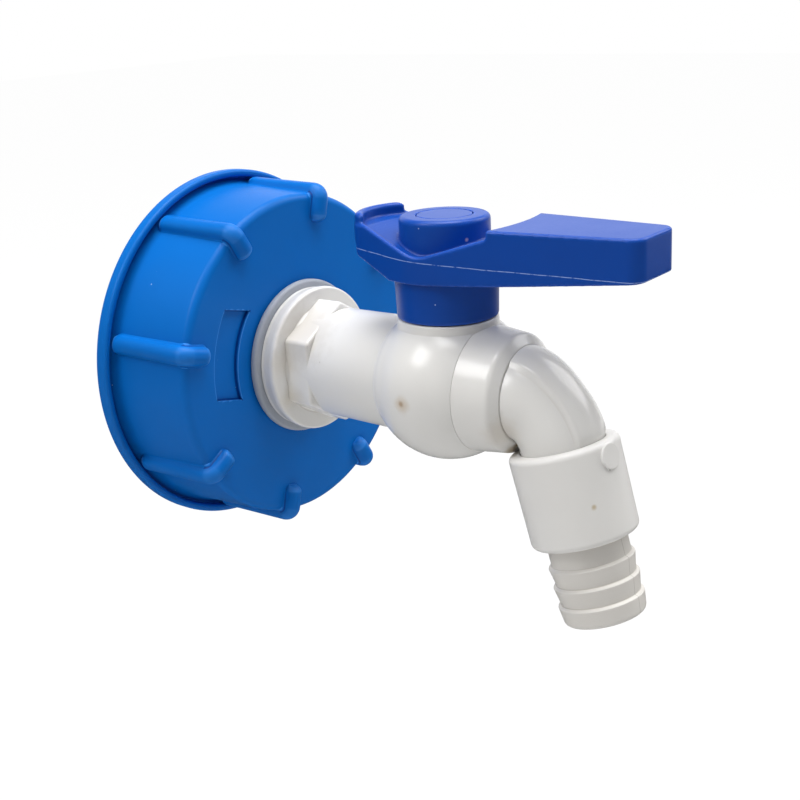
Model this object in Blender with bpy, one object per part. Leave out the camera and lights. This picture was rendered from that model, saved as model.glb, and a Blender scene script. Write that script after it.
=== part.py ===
"""Tank valve: screw cap, ball tap with lever, bent spout and barbed hose tail.

Metres, +X along the flow out of the tank, +Z up, origin at the centre of the cap's mouth.
"""
from math import acos, asin, cos, pi, radians, sin, sqrt, tan

import bmesh
import bpy
from mathutils import Matrix, Vector

# cap
cap_flange_radius = 0.0420
cap_flange_edge = 0.0008
cap_rim_height = 0.0033
cap_rim_width = 0.0020
cap_groove_width = 0.0009
cap_groove_depth = 0.0009
cap_drum_radius = 0.0384
cap_drum_edge = 0.0010
cap_face_x = 0.0224
cap_plate = 0.0032
cap_mouth_lead = 0.0009
cap_floor_corner = 0.0008
cap_hub_radius = 0.0170
cap_hub_drop = 0.0072
cap_bore_lead = 0.0006
cap_rib_width = 0.0040
cap_rib_height = 0.0018
cap_rib_sunk = 0.0012
cap_rib_corner = 0.0020
cap_rib_start_x = 0.0024
cap_rib_count = 8
cap_rib_turn = 166.6
cap_recess_half = 0.0100
cap_recess_depth = 0.0009

# coarse inside thread of the cap
mouth_thread_height = 0.0021
mouth_thread_pitch = 0.0060
mouth_thread_base = 0.0042
mouth_thread_top = 0.0012
mouth_thread_lean = 0.0011
mouth_thread_start = 0.0016
mouth_thread_turns = 1.7

# gasket and washer
gasket_width = 0.0074
gasket_thick = 0.0024
washer_radius = 0.0181
washer_thick = 0.0022
washer_edge = 0.0006

# tap body
inlet_start_x = 0.0100
inlet_core_radius = 0.01205
inlet_thread_radius = 0.0132
inlet_thread_pitch = 0.0020
inlet_thread_base = 0.0015
inlet_thread_top = 0.0004
inlet_thread_turns = 5.3
inlet_thread_lead = 0.0011
disc_radius = 0.0161
disc_end_x = 0.0293
disc_edge = 0.0009
hex_flat_gap = 0.0246
hex_end_x = 0.0363
hex_tip_radius = 0.0140
hex_bevel = 0.0012
tube_start_radius = 0.0122
ball_centre_x = 0.06675
chamber_radius = 0.01675
tube_end_radius = 0.0126
body_end_reach = 0.00975
body_edge = 0.0004
spigot_radius = 0.0121
spigot_length = 0.0056
flow_bore_radius = 0.0060
neck_radius = 0.0107
neck_top_z = 0.01462
neck_edge = 0.0004
neck_root_radius = 0.0118
neck_root_z = 0.0121
core_radius = 0.0074
core_top_z = 0.0220
lug_radius = 0.0089
lug_top_z = 0.0190
stop_half_angle = 24.0
turn_range = 90.0
stop_slack = 1.5

# ball and seats
ball_radius = 0.0105
seat_inner = 0.0066
seat_lip_radius = 0.0088
seat_outer = 0.0100
seat_back = 0.0091
slot_width = 0.0034
slot_depth = 0.0026

# stem
tang_width = 0.0028
tang_length = 0.0076
tang_floor_gap = 0.0003
collar_radius = 0.0060
collar_bottom_z = 0.0108
collar_thick = 0.0013
thrust_thick = 0.0006
thrust_inner = 0.0048
stem_radius = 0.0045
stem_square = 0.0056
stem_square_start_z = 0.0224
stem_top_z = 0.0297
pilot_radius = 0.0015
pilot_depth = 0.0080
stem_groove_floor = 0.0034
stem_groove_half = 0.0009
stem_ring_section = 0.00055
stem_ring_lower_z = 0.0152
stem_ring_upper_z = 0.0186

# end piece
end_piece_radius = 0.0134
end_piece_mid_radius = 0.0127
end_piece_mid_length = 0.0057
end_piece_length = 0.0106
end_piece_end_radius = 0.0104
end_piece_round = 0.0024
socket_radius = 0.0086
socket_depth = 0.0070
snap_groove_radius = 0.0092
snap_depth = 0.0066
snap_length = 0.0014
nose_radius = 0.0102
end_ring_back = 0.0035
end_groove_floor = 0.0086
end_ring_section = 0.0009
end_groove_half = 0.0012

# elbow
outlet_lean = 15.6
outlet_ahead = 0.0047
collar_drop = 0.0096
elbow_radius = 0.0088
elbow_end_radius = 0.0084
elbow_bend_radius = 0.0119
elbow_ring_radius = 0.0101
elbow_ring_thick = 0.0013
elbow_ring_edge = 0.0004
elbow_band_rise = 0.0005
elbow_band_half_angle = 36.0
elbow_band_edge_angle = 2.0
elbow_spigot_wall = 0.0023
elbow_bead_rise = 0.0006
elbow_bore_bend = 0.0080
elbow_thread_crest = 0.0091
elbow_thread_pitch = 0.0022
elbow_thread_base = 0.0015
elbow_thread_top = 0.0005
elbow_thread_start = 0.0025
elbow_thread_turns = 3.4
elbow_groove_back = 0.0030
elbow_groove_floor = 0.0072
elbow_groove_half = 0.0008
elbow_ring_section = 0.0005

# collar nut
nut_radius = 0.01158
nut_bottom_radius = 0.0113
nut_length = 0.0199
nut_top_edge = 0.0013
nut_bottom_edge = 0.0021
nut_lip = 0.0037
gate_radius = 0.0025
gate_rise = 0.0003
gate_down = 0.0037

# hose tail
tail_flange_thick = 0.0030
tail_neck_radius = 0.0084
tail_bore_radius = 0.0064
tail_barb_radius = 0.0091
tail_barb_root = 0.0084
tail_first_barb = 0.0248
tail_barb_pitch = 0.0042
tail_barb_count = 3
tail_barb_lip = 0.0006
tail_end = 0.0373
tail_end_edge = 0.0011
tail_washer_thick = 0.0015

# lever
lever_rest_turn = 2.6
skirt_radius = 0.01074
skirt_top_radius = 0.01095
skirt_bottom_z = 0.01500
skirt_bore = 0.0093
skirt_roof_z = 0.0229
lever_floor_z = 0.0235
boss_radius = 0.00953
boss_top_z = 0.03607
boss_edge = 0.0011
tail_tip_s = 0.0166
tail_tip_w = 0.0082
tail_bulge = 0.0032
tail_under_z = 0.0275
tail_floor_z = 0.0343
hub_half_width = 0.0128
valley_z = 0.0292
valley_start_s = -0.0006
valley_end_s = 0.0024
root_s = 0.0160
root_half_width = 0.0114
root_under_z = 0.0242
ramp_s = 0.0140
ramp_z = 0.0332
grip_top_z = 0.0355
grip_start_s = 0.0165
grip_arc_radius = 0.0400
grip_end_s = 0.0482
grip_end_half_width = 0.0068
grip_under_z = 0.0270
grip_corner = 0.0022
lip_height = 0.0021
lip_width = 0.0019
lip_share = 0.93
lip_end_share = 0.85
lip_shoulder_share = 0.6
rim_wall = 0.0014
rim_depth = 0.0012
shell_wall = 0.0017
shell_roof = 0.0020
shell_rib = 0.0014
shell_rib_pitch = 0.0095
shell_start_s = 0.0215
square_hole_top_z = 0.0300
web_top_z = 0.0316
screw_hole_radius = 0.0022
plug_hole_radius = 0.0065

# screw and plug
screw_head_radius = 0.0034
screw_head_height = 0.0020
screw_head_edge = 0.0008
screw_shank_radius = 0.0012
screw_length = 0.0070
screw_cross_width = 0.0008
screw_cross_length = 0.0040
screw_cross_depth = 0.0010
plug_radius = 0.0062
plug_plate = 0.0013
plug_wall = 0.0011
plug_edge = 0.0004

# clearances and small allowances
seat_gap = 0.0003
ring_gap = 0.00015
overlap = 0.0010
weld_distance = 0.000001
small_step = 0.00002

# how finely round shapes are drawn
large_steps = 52
middle_steps = 30
small_steps = 18
ring_sides = 6
corner_steps = 2
sphere_steps = 10
ball_steps = 12
arc_steps = 4
lip_steps = 5
bend_steps = 9
band_steps = 6
rest_steps = 17
sector_step = 12.0
sharp_angle = 32.0
corner_share = 0.48
fade_share = 0.3
rib_end_shares = (0.30, 0.80)
rib_end_reach_share = 0.9
cap_mouth_share = 0.7891
rib_inner_share = 0.6256
recess_inner_share = 0.0739
recess_outer_share = 0.4236
rib_profile_turns = (180, 140, 105, 75, 40, 0)
rib_corner_turns = (60.0, 30.0, 0.0)
quarter_turn = 90.0
full_turn = 360.0

# radii and ends that follow from others
cap_face_width = cap_drum_radius - washer_radius
cap_rib_inner_radius = washer_radius + cap_face_width * rib_inner_share
cap_recess_inner = washer_radius + cap_face_width * recess_inner_share
cap_recess_outer = washer_radius + cap_face_width * recess_outer_share
cap_mouth_radius = cap_drum_radius * cap_mouth_share
mouth_thread_crest = cap_mouth_radius - mouth_thread_height
gasket_inner = cap_mouth_radius - seat_gap - gasket_width
body_end_x = ball_centre_x + body_end_reach
spigot_end_x = body_end_x + spigot_length
end_piece_start_x = body_end_x + seat_gap
end_piece_mid_x = end_piece_start_x + end_piece_mid_length
end_piece_end_x = end_piece_start_x + end_piece_length
end_ring_x = spigot_end_x - end_ring_back
socket_start_x = end_piece_end_x - socket_depth
snap_start_x = end_piece_end_x - snap_depth
elbow_groove_x = end_piece_end_x - elbow_groove_back
outlet_cross_x = end_piece_end_x + outlet_ahead

# finishes, from the photo: colour, roughness, metallic
cap_blue = ((0.012, 0.175, 0.600), 0.38, 0.0)
lever_blue = ((0.008, 0.040, 0.330), 0.36, 0.0)
plug_blue = ((0.010, 0.050, 0.360), 0.36, 0.0)
body_white = ((0.790, 0.780, 0.760), 0.28, 0.0)
spout_white = ((0.750, 0.740, 0.715), 0.30, 0.0)
washer_grey = ((0.620, 0.640, 0.680), 0.45, 0.0)
ball_white = ((0.830, 0.830, 0.810), 0.20, 0.0)
seat_white = ((0.880, 0.880, 0.860), 0.38, 0.0)
stem_white = ((0.700, 0.700, 0.680), 0.40, 0.0)
rubber_black = ((0.030, 0.030, 0.032), 0.65, 0.0)
rubber_grey = ((0.110, 0.110, 0.115), 0.70, 0.0)
steel_grey = ((0.560, 0.560, 0.570), 0.35, 1.0)


def clear_scene():
    for thing in list(bpy.data.objects):
        bpy.data.objects.remove(thing, do_unlink=True)


def rounded(points, closed=True):
    """Turns (along, across, corner radius) points into a plain outline with round corners."""
    result = []
    count = len(points)
    for index, (a, b, corner) in enumerate(points):
        here = Vector((a, b))
        ends = not closed and index in (0, count - 1)
        if corner <= 0 or ends:
            result.append((a, b))
            continue
        before = Vector(points[index - 1][:2]) - here
        after = Vector(points[(index + 1) % count][:2]) - here
        half = before.angle(after) / 2
        reach = min(corner / tan(half), before.length * corner_share, after.length * corner_share)
        start = here + before.normalized() * reach
        finish = here + after.normalized() * reach
        centre = here + (before.normalized() + after.normalized()).normalized() * (reach / cos(half))
        first = start - centre
        last = finish - centre
        sweep = first.angle_signed(last)
        for step in range(corner_steps + 1):
            arm = first.copy()
            arm.rotate(Matrix.Rotation(-sweep * step / corner_steps, 2))
            result.append(tuple(centre + arm))
    return result


def finish(name, bm):
    """Closes a bmesh into a named object with outward faces."""
    bmesh.ops.remove_doubles(bm, verts=bm.verts, dist=weld_distance)
    bmesh.ops.recalc_face_normals(bm, faces=bm.faces)
    if bm.calc_volume(signed=True) < 0:
        bmesh.ops.reverse_faces(bm, faces=bm.faces)
    mesh = bpy.data.meshes.new(name)
    bm.to_mesh(mesh)
    bm.free()
    thing = bpy.data.objects.new(name, mesh)
    bpy.context.scene.collection.objects.link(thing)
    return thing


def lathe(name, points, steps, axis="x", closed=True):
    """Turns an outline of (along, radius, corner) points about the X or Z axis."""
    outline = rounded(points, closed)
    bm = bmesh.new()
    about = Vector((1, 0, 0)) if axis == "x" else Vector((0, 0, 1))
    if axis == "x":
        verts = [bm.verts.new((along, 0, radius)) for along, radius in outline]
    else:
        half = pi / steps
        verts = [bm.verts.new((radius * cos(half), radius * sin(half), along)) for along, radius in outline]
    edges = [bm.edges.new((verts[i], verts[i + 1])) for i in range(len(verts) - 1)]
    if closed:
        edges.append(bm.edges.new((verts[-1], verts[0])))
    bmesh.ops.spin(bm, geom=verts + edges, cent=Vector(), axis=about, angle=2 * pi,
                   steps=steps, use_merge=True, use_duplicate=False)
    return finish(name, bm)


def prism(name, outline, low, high, plane="xy"):
    """Extrudes a flat outline; xy goes up in Z, xz goes along Y, yz goes along X."""
    bm = bmesh.new()
    place = {
        "xy": lambda a, b: (a, b, low),
        "xz": lambda a, b: (a, low, b),
        "yz": lambda a, b: (low, a, b),
    }[plane]
    push = {"xy": (0, 0, high - low), "xz": (0, high - low, 0), "yz": (high - low, 0, 0)}[plane]
    face = bm.faces.new([bm.verts.new(place(a, b)) for a, b in outline])
    grown = bmesh.ops.extrude_face_region(bm, geom=[face])
    moved = [item for item in grown["geom"] if isinstance(item, bmesh.types.BMVert)]
    bmesh.ops.translate(bm, verts=moved, vec=push)
    return finish(name, bm)


def skin(name, rings):
    """Bridges closed rings of points one after another and caps both ends."""
    bm = bmesh.new()
    rows = [[bm.verts.new(point) for point in ring] for ring in rings]
    size = len(rows[0])
    for row, following in zip(rows, rows[1:]):
        for i in range(size):
            bm.faces.new((row[i], row[(i + 1) % size], following[(i + 1) % size], following[i]))
    bm.faces.new(rows[0])
    bm.faces.new(list(reversed(rows[-1])))
    return finish(name, bm)


def box(name, low, high):
    outline = [(low[0], low[1]), (high[0], low[1]), (high[0], high[1]), (low[0], high[1])]
    return prism(name, outline, low[2], high[2])


def cylinder(name, radius, low, high, axis="z", steps=middle_steps):
    points = [(low, 0, 0), (low, radius, 0), (high, radius, 0), (high, 0, 0)]
    return lathe(name, points, steps, axis, closed=False)


def combine(target, others, operation):
    """Joins, cuts or intersects a solid with others, which are used up."""
    for other in others:
        step = target.modifiers.new("combine", "BOOLEAN")
        step.operation = operation
        step.solver = "EXACT"
        step.object = other
        graph = bpy.context.evaluated_depsgraph_get()
        mesh = bpy.data.meshes.new_from_object(target.evaluated_get(graph))
        target.modifiers.remove(step)
        target.data = mesh
        bpy.data.objects.remove(other, do_unlink=True)
    return target


def tidy(thing):
    """Welds hairline doubles left by joins and makes the flat faces planar again."""
    bm = bmesh.new()
    bm.from_mesh(thing.data)
    bmesh.ops.remove_doubles(bm, verts=bm.verts, dist=weld_distance)
    bmesh.ops.dissolve_degenerate(bm, edges=bm.edges, dist=weld_distance)
    bmesh.ops.recalc_face_normals(bm, faces=bm.faces)
    bm.to_mesh(thing.data)
    bm.free()
    return thing


def cut(target, *others):
    return combine(target, others, "DIFFERENCE")


def join(target, *others):
    return combine(target, others, "UNION")


def common(target, *others):
    return combine(target, others, "INTERSECT")


def plastic(name, finish):
    """The piece's own material."""
    colour, roughness, metallic = finish
    material = bpy.data.materials.new(name)
    material.use_nodes = True
    shader = material.node_tree.nodes["Principled BSDF"]
    shader.inputs["Base Color"].default_value = (*colour, 1.0)
    shader.inputs["Roughness"].default_value = roughness
    shader.inputs["Metallic"].default_value = metallic
    return material


def paint(thing, name, look):
    """Names the finished piece, gives it its material and shades its round faces smooth."""
    thing.name = name
    thing.data.name = name
    thing.data.materials.clear()
    thing.data.materials.append(plastic(name, look))
    for face in thing.data.polygons:
        face.use_smooth = True
        face.material_index = 0
    thing.data.set_sharp_from_angle(angle=radians(sharp_angle))
    return thing


def spiral(name, about, root, crest, base, top, pitch, start, turns, steps, lean=0.0):
    """A screw ridge about the X axis whose two ends sink into the wall it stands on."""
    inward = crest < root
    sunk = root + overlap / 2 if inward else root - overlap / 2
    total = int(turns * steps)
    fade = max(arc_steps, steps // ring_sides)
    rings = []
    for step in range(total + 1):
        share = min(step, total - step, fade) / fade
        tip = sunk + (crest - sunk) * (fade_share + (1 - fade_share) * share)
        angle = 2 * pi * step / steps
        along = start + pitch * step / steps
        outline = (
            (along - base / 2, sunk),
            (along - top / 2 + lean, tip),
            (along + top / 2 + lean, tip),
            (along + base / 2, sunk),
        )
        rings.append([(a, r * cos(angle) + about[0], r * sin(angle) + about[1]) for a, r in outline])
    return skin(name, rings)


def torus(name, middle, radius, section):
    """A round ring about the X axis."""
    sides = [2 * pi * step / ring_sides for step in range(ring_sides)]
    points = [(middle + section * cos(side), radius + section * sin(side), 0) for side in sides]
    return lathe(name, points, small_steps)


def standing(thing, x, z):
    """Stands a piece that was turned about X upright on the lever's axis."""
    thing.data.transform(Matrix.Rotation(-pi / 2, 4, "Y"))
    thing.data.transform(Matrix.Translation((0, 0, z)))
    return on_lever_axis(thing, x)


def on_lever_axis(thing, x=ball_centre_x):
    """Puts a piece's origin on the lever's axis, turned as the lever stands."""
    thing.location = (x, 0, 0)
    thing.rotation_euler = (0, 0, radians(lever_rest_turn))
    return thing


def on_outlet_axis(thing):
    """Puts a piece drawn along local X at the collar's top, pointing down the outlet."""
    thing.location = outlet_top()
    thing.rotation_euler = (0, radians(quarter_turn - outlet_lean), 0)
    return thing


def outlet_direction():
    lean = radians(outlet_lean)
    return Vector((sin(lean), 0, -cos(lean)))


def outlet_top():
    return Vector((outlet_cross_x, 0, 0)) + outlet_direction() * collar_drop


# cap

def cap_shell():
    floor = cap_face_x - cap_plate
    hub_end = floor - cap_hub_drop
    bore = inlet_thread_radius + seat_gap
    rim_inner = cap_flange_radius - cap_rim_width
    groove = cap_rim_height - cap_groove_depth
    return lathe("cap", [
        (0, cap_mouth_radius + cap_mouth_lead, 0),
        (0, cap_flange_radius, cap_flange_edge),
        (cap_rim_height, cap_flange_radius, cap_flange_edge),
        (cap_rim_height, rim_inner, cap_flange_edge / 2),
        (groove, rim_inner - cap_groove_width / 2, cap_groove_width / 2),
        (groove, cap_drum_radius, cap_groove_width / 2),
        (cap_face_x, cap_drum_radius, cap_drum_edge),
        (cap_face_x, bore, 0),
        (hub_end + cap_bore_lead, bore, 0),
        (hub_end, bore + cap_bore_lead, 0),
        (hub_end, cap_hub_radius, cap_bore_lead),
        (floor, cap_hub_radius, 0),
        (floor, cap_mouth_radius, cap_floor_corner),
        (cap_mouth_lead, cap_mouth_radius, 0),
    ], large_steps)


def rib_path():
    """Stations of a rib from the flange to the face: along, radius, tilt and how full it is."""
    half = cap_rib_width / 2
    corner_x = cap_face_x - cap_rib_corner
    corner_r = cap_drum_radius - cap_rib_corner
    path = []
    for share in rib_end_shares:
        path.append((cap_rib_start_x + half * (1 - rib_end_reach_share * (1 - share)),
                     cap_drum_radius, quarter_turn, share))
    path.append((cap_rib_start_x + half, cap_drum_radius, quarter_turn, 1.0))
    path.append((corner_x, cap_drum_radius, quarter_turn, 1.0))
    for turn in rib_corner_turns:
        path.append((corner_x + cap_rib_corner * cos(radians(turn)),
                     corner_r + cap_rib_corner * sin(radians(turn)), turn, 1.0))
    path.append((cap_face_x, cap_rib_inner_radius + half, 0.0, 1.0))
    for share in reversed(rib_end_shares):
        path.append((cap_face_x, cap_rib_inner_radius + half * rib_end_reach_share * (share - 1) + half,
                     0.0, share))
    return path


def cap_rib(index):
    """One L-shaped rib: along the drum, round the corner and onto the face, with round ends."""
    half = cap_rib_width / 2
    rings = []
    for x, r, turn, share in rib_path():
        away = Vector((cos(radians(turn)), sin(radians(turn))))
        shape = [(-half * share, -cap_rib_sunk)]
        for side in rib_profile_turns:
            shape.append((half * share * cos(radians(side)), cap_rib_height * share * sin(radians(side))))
        shape.append((half * share, -cap_rib_sunk))
        rings.append([Vector((x + away.x * up, across, r + away.y * up)) for across, up in shape])
    rib = skin("rib", rings)
    angle = radians(cap_rib_turn + full_turn * index / cap_rib_count - quarter_turn)
    rib.data.transform(Matrix.Rotation(angle, 4, "X"))
    return rib


def cap_recess():
    """The bare arc-ended recess on the face, between a rib's end and the washer."""
    outline = []
    for radius, order in ((cap_recess_outer, 1), (cap_recess_inner, -1)):
        half = asin(cap_recess_half / radius)
        for step in range(-arc_steps, arc_steps + 1):
            angle = order * half * step / arc_steps
            outline.append((radius * cos(angle), radius * sin(angle)))
    cutter = prism("recess", outline, cap_face_x - cap_recess_depth, cap_face_x + overlap, "yz")
    cutter.data.transform(Matrix.Rotation(radians(cap_rib_turn), 4, "X"))
    return cutter


def cap_thread():
    return spiral("thread", (0, 0), cap_mouth_radius, mouth_thread_crest, mouth_thread_base,
                  mouth_thread_top, mouth_thread_pitch, mouth_thread_start + mouth_thread_base / 2,
                  mouth_thread_turns, large_steps, mouth_thread_lean)


def make_cap():
    cap = cap_shell()
    join(cap, *[cap_rib(index) for index in range(cap_rib_count)])
    cut(cap, cap_recess())
    join(cap, cap_thread())
    paint(tidy(cap), "cap", cap_blue)


def make_gasket():
    back = cap_face_x - cap_plate - seat_gap
    outer = cap_mouth_radius - seat_gap
    ring = lathe("gasket", [
        (back - gasket_thick, gasket_inner, 0),
        (back - gasket_thick, outer - cap_floor_corner / 2, 0),
        (back - gasket_thick + cap_floor_corner / 2, outer, 0),
        (back - cap_floor_corner, outer, 0),
        (back, outer - cap_floor_corner, 0),
        (back, gasket_inner, 0),
    ], middle_steps)
    paint(ring, "cap_gasket", rubber_black)


def make_flange_washer():
    near = cap_face_x + seat_gap
    ring = lathe("washer", [
        (near, inlet_thread_radius + seat_gap, 0),
        (near, washer_radius, washer_edge),
        (near + washer_thick, washer_radius, washer_edge),
        (near + washer_thick, inlet_thread_radius + seat_gap, 0),
    ], middle_steps)
    paint(ring, "flange_washer", washer_grey)


# tap body

def body_outside():
    disc_start = cap_face_x + washer_thick + 2 * seat_gap
    start_angle = acos(tube_end_radius / chamber_radius)
    end_angle = asin((body_end_x - ball_centre_x) / chamber_radius)
    points = [
        (inlet_start_x, 0, 0),
        (inlet_start_x, inlet_core_radius - inlet_thread_lead, 0),
        (inlet_start_x + inlet_thread_lead, inlet_core_radius, 0),
        (disc_start, inlet_core_radius, 0),
        (disc_start, disc_radius, disc_edge / 2),
        (disc_end_x, disc_radius, disc_edge),
        (disc_end_x, tube_start_radius, 0),
        (ball_centre_x - chamber_radius * sin(start_angle), tube_end_radius, 0),
    ]
    for step in range(1, sphere_steps + 1):
        angle = -start_angle + (start_angle + end_angle) * step / sphere_steps
        points.append((ball_centre_x + chamber_radius * sin(angle), chamber_radius * cos(angle), 0))
    points.append((body_end_x, spigot_radius, 0))
    points.append((spigot_end_x, spigot_radius, body_edge))
    points.append((spigot_end_x, 0, 0))
    return lathe("body", points, middle_steps, closed=False)


def body_hexagon():
    """Hexagon with two flats facing sideways and its outer corners bevelled off."""
    corner = hex_flat_gap / sqrt(3)
    outline = []
    for index in range(6):
        angle = radians(quarter_turn + full_turn * index / 6)
        outline.append((corner * cos(angle), corner * sin(angle)))
    block = prism("hexagon", outline, disc_end_x - overlap, hex_end_x, "yz")
    bevelled = lathe("bevelled", [
        (disc_end_x - 2 * overlap, 0, 0),
        (disc_end_x - 2 * overlap, hex_tip_radius, 0),
        (hex_end_x - hex_bevel, hex_tip_radius, 0),
        (hex_end_x + overlap, tube_start_radius - hex_bevel, 0),
        (hex_end_x + overlap, 0, 0),
    ], middle_steps, closed=False)
    return common(block, bevelled)


def body_neck():
    """Neck under the lever: the rim the skirt hides, and the core the stem runs in."""
    neck = lathe("neck", [
        (0, 0, 0),
        (0, flow_bore_radius, 0),
        (neck_root_z / 2, neck_root_radius, 0),
        (neck_root_z, neck_root_radius, 0),
        (neck_root_z + 2 * (neck_root_radius - neck_radius), neck_radius, 0),
        (neck_top_z, neck_radius, neck_edge),
        (neck_top_z, core_radius, 0),
        (core_top_z, core_radius, neck_edge),
        (core_top_z, 0, 0),
    ], middle_steps, "z", closed=False)
    neck.data.transform(Matrix.Translation((ball_centre_x, 0, 0)))
    clear = cylinder("clear", end_piece_radius + seat_gap, body_end_x, spigot_end_x, "x", middle_steps)
    return cut(neck, clear)


def sector(name, inner, outer, start, finish_angle, low, high):
    """A ring sector standing on the lever's axis; angles in degrees from +X."""
    count = max(arc_steps, int((finish_angle - start) / sector_step))
    outline = []
    for step in range(count + 1):
        angle = radians(start + (finish_angle - start) * step / count)
        outline.append((outer * cos(angle), outer * sin(angle)))
    for step in range(count, -1, -1):
        angle = radians(start + (finish_angle - start) * step / count)
        outline.append((inner * cos(angle), inner * sin(angle)))
    return prism(name, outline, low, high)


def body_stop_lug():
    """Lug round the core; the rib inside the lever's skirt runs in its gap."""
    start = quarter_turn + turn_range + stop_half_angle + stop_slack
    finish_angle = full_turn + quarter_turn - stop_half_angle - stop_slack
    lug = sector("lug", core_radius - overlap, lug_radius, start, finish_angle,
                 neck_top_z - overlap, lug_top_z)
    lug.data.transform(Matrix.Translation((ball_centre_x, 0, 0)))
    return lug


def body_thread():
    return spiral("thread", (0, 0), inlet_core_radius, inlet_thread_radius, inlet_thread_base,
                  inlet_thread_top, inlet_thread_pitch, inlet_start_x + inlet_thread_lead,
                  inlet_thread_turns, small_steps)


def body_inside():
    """Everything the flow, the seats, the ball and the stem need, as one set of cutters."""
    ball_bore = ball_radius + seat_gap
    seat_floor = ball_centre_x - seat_back - seat_gap
    flow = cylinder("flow", flow_bore_radius, inlet_start_x - overlap, ball_centre_x, "x", small_steps)
    pocket = lathe("pocket", [
        (seat_floor, 0, 0),
        (seat_floor, seat_outer + seat_gap, 0),
        (ball_centre_x - ball_radius / 2, seat_outer + seat_gap, 0),
        (ball_centre_x - ball_radius / 2 + seat_gap, ball_bore, 0),
        (spigot_end_x + overlap, ball_bore, 0),
        (spigot_end_x + overlap, 0, 0),
    ], middle_steps, closed=False)
    roof = collar_bottom_z + collar_thick + thrust_thick + 2 * seat_gap
    stem_hole = lathe("stem_hole", [
        (flow_bore_radius / 2, 0, 0),
        (flow_bore_radius / 2, collar_radius + seat_gap, 0),
        (roof, collar_radius + seat_gap, 0),
        (roof, stem_radius + seat_gap, 0),
        (core_top_z + overlap, stem_radius + seat_gap, 0),
        (core_top_z + overlap, 0, 0),
    ], small_steps, "z", closed=False)
    stem_hole.data.transform(Matrix.Translation((ball_centre_x, 0, 0)))
    return [flow, pocket, stem_hole]


def make_body():
    body = body_outside()
    join(body, body_hexagon(), body_neck(), body_stop_lug(), body_thread())
    cut(body, *body_inside())
    paint(tidy(body), "valve_body", body_white)


def seat_ring(name, side):
    """A sealing ring hollowed to the ball; side is -1 at the inlet and 1 at the outlet."""
    hollow = ball_radius + seat_gap
    points = [(ball_centre_x + side * seat_back, seat_inner, 0)]
    for step in range(arc_steps + 1):
        radius = seat_inner + (seat_lip_radius - seat_inner) * step / arc_steps
        points.append((ball_centre_x + side * sqrt(hollow ** 2 - radius ** 2), radius, 0))
    front = sqrt(hollow ** 2 - seat_lip_radius ** 2)
    points.append((ball_centre_x + side * front, seat_outer, 0))
    points.append((ball_centre_x + side * seat_back, seat_outer, 0))
    return paint(lathe(name, points, small_steps), name, seat_white)


def make_ball():
    """Ball with its flow bore and the slot the stem turns it by."""
    mouth = asin(flow_bore_radius / ball_radius)
    points = []
    for step in range(ball_steps + 1):
        angle = mouth + (pi - 2 * mouth) * step / ball_steps
        points.append((ball_radius * cos(angle), ball_radius * sin(angle), 0))
    ball = lathe("ball", points, middle_steps)
    slot = box("slot", (-slot_width / 2, -ball_radius, ball_radius - slot_depth),
               (slot_width / 2, ball_radius, ball_radius + overlap))
    cut(ball, slot)
    paint(on_lever_axis(tidy(ball)), "ball", ball_white)


# stem and its rings

def make_stem():
    shoulder = collar_bottom_z + collar_thick
    points = [(collar_bottom_z, 0, 0), (collar_bottom_z, collar_radius, 0),
              (shoulder, collar_radius, 0), (shoulder, stem_radius, 0)]
    for middle in (stem_ring_lower_z, stem_ring_upper_z):
        points.append((middle - stem_groove_half, stem_radius, 0))
        points.append((middle - stem_groove_half, stem_groove_floor, 0))
        points.append((middle + stem_groove_half, stem_groove_floor, 0))
        points.append((middle + stem_groove_half, stem_radius, 0))
    points.append((stem_square_start_z, stem_radius, 0))
    points.append((stem_square_start_z, 0, 0))
    stem = lathe("stem", points, small_steps, "z", closed=False)
    tang_floor = ball_radius - slot_depth + tang_floor_gap
    tang = box("tang", (-tang_width / 2, -tang_length / 2, tang_floor),
               (tang_width / 2, tang_length / 2, collar_bottom_z + collar_thick / 2))
    half = stem_square / 2
    square = box("square", (-half, -half, stem_square_start_z - overlap), (half, half, stem_top_z))
    join(stem, tang, square)
    cut(stem, cylinder("pilot", pilot_radius, stem_top_z - pilot_depth, stem_top_z + overlap,
                       "z", small_steps))
    paint(on_lever_axis(tidy(stem)), "stem", stem_white)


def make_thrust_washer():
    low = collar_bottom_z + collar_thick + seat_gap
    ring = lathe("thrust", [
        (low, thrust_inner, 0),
        (low, collar_radius, 0),
        (low + thrust_thick, collar_radius, 0),
        (low + thrust_thick, thrust_inner, 0),
    ], small_steps, "z")
    paint(on_lever_axis(ring), "stem_thrust_washer", seat_white)


def stem_ring(name, height):
    middle = stem_groove_floor + ring_gap + stem_ring_section
    ring = torus(name, 0, middle, stem_ring_section)
    return paint(standing(ring, ball_centre_x, height), name, rubber_black)


# end piece

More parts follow.
